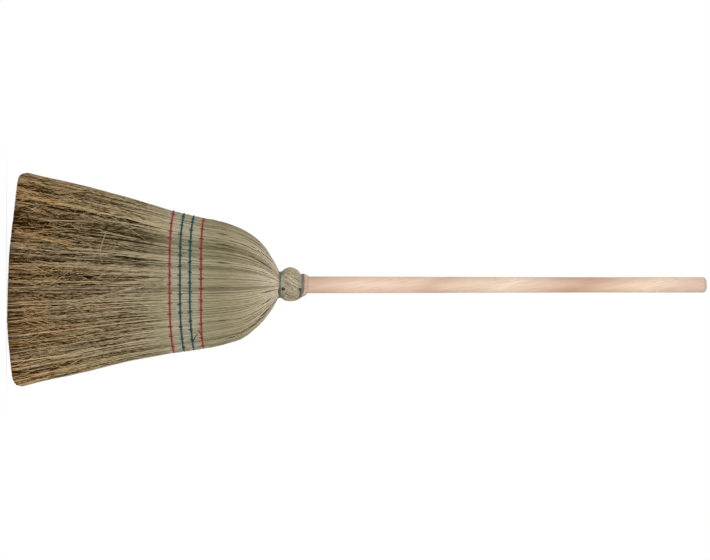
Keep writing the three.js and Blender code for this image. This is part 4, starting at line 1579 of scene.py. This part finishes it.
# %% [markdown]
# ## Beech
# Beech is a pinkish wood with a soft slanting figure and tiny darker flecks along the grain.
# An image of wood would show a seam on a round stick, and noise in Object coordinates runs right through it.
# A ramp along the handle gives the broad light and dark parts, and three noises the figure, rays and flecks.

# %% Beech finish
BEECH_FOOT = 0.5
BEECH_SPAN = 0.7
BEECH_LEAN = math.radians(-10)
BEECH_SLANT = 1.5
BEECH_WAVE = 0.22
BEECH_STOPS = (
    # share of the handle's length above the straw, colour of the wood there
    (0.02, (0.55, 0.36, 0.26)),
    (0.17, (0.75, 0.56, 0.42)),
    (0.28, (0.72, 0.53, 0.41)),
    (0.36, (0.6, 0.42, 0.31)),
    (0.51, (0.81, 0.64, 0.48)),
    (0.6, (0.68, 0.49, 0.37)),
    (0.685, (0.52, 0.33, 0.22)),
    (0.86, (0.8, 0.62, 0.46)),
    (1.0, (0.63, 0.45, 0.35)),
)
BEECH_RAY = (0.57, 0.38, 0.28, 1)
BEECH_FLECK = (0.4, 0.24, 0.15, 1)


def beech_finish():
    finish = Finish("handle_wood")
    figure = finish.noise((16, 16, 170), detail=3.0, lean=BEECH_LEAN)
    start = BEECH_FOOT + BEECH_SLANT * HANDLE_ASIDE * MM
    slanting = finish.place("Z") + BEECH_SLANT * finish.place("X") - start
    ground = finish.ramp(slanting / BEECH_SPAN + (figure - 0.5) * BEECH_WAVE, BEECH_STOPS)
    rays = finish.noise((1.8, 1.8, 60), detail=3.0, lean=BEECH_LEAN)
    fleck = finish.noise((0.7, 0.7, 9), detail=2.0)
    colour = finish.mix(finish.band(rays, 0.5, 0.64) * 0.42, ground, BEECH_RAY)
    colour = finish.mix(finish.band(fleck, 0.62, 0.74) * 0.25, colour, BEECH_FLECK)
    rough = 0.42 + 0.2 * fleck
    bump = finish.bump(fleck, 0.1, 0.2)
    return finish.shade(Base_Color=colour, Roughness=rough, Normal=bump, Specular_IOR_Level=0.35)


handle_wood = beech_finish()
print("beech has", len(BEECH_STOPS), "parts along the handle")

# %% [markdown]
# ## Handle
# The handle is a turned stick, a little uneven in thickness as hand turning leaves it.
# Its profile is spun round the axis, from the taper inside the straw to the slightly domed end.

# %% Handle
HANDLE_PROFILE = (
    # radius, height
    (0, 350), (7.4, 350), (8, 350.6), (14.3, 395), (14.5, 520), (14.4, 600), (14.1, 690), (13.8, 793),
    (13.55, 862), (13.2, 965), (13.2, 1034), (13.45, 1120), (13.3, 1194.4), (12.9, 1195.7), (11.8, 1197.1),
    (9.8, 1198.5), (7.4, 1199.4), (4.8, 1199.85), (0, 1200),
)
add_piece(turned("turned_handle", HANDLE_PROFILE, ROUND_STEPS), handle_wood, "handle_wood", "handle")
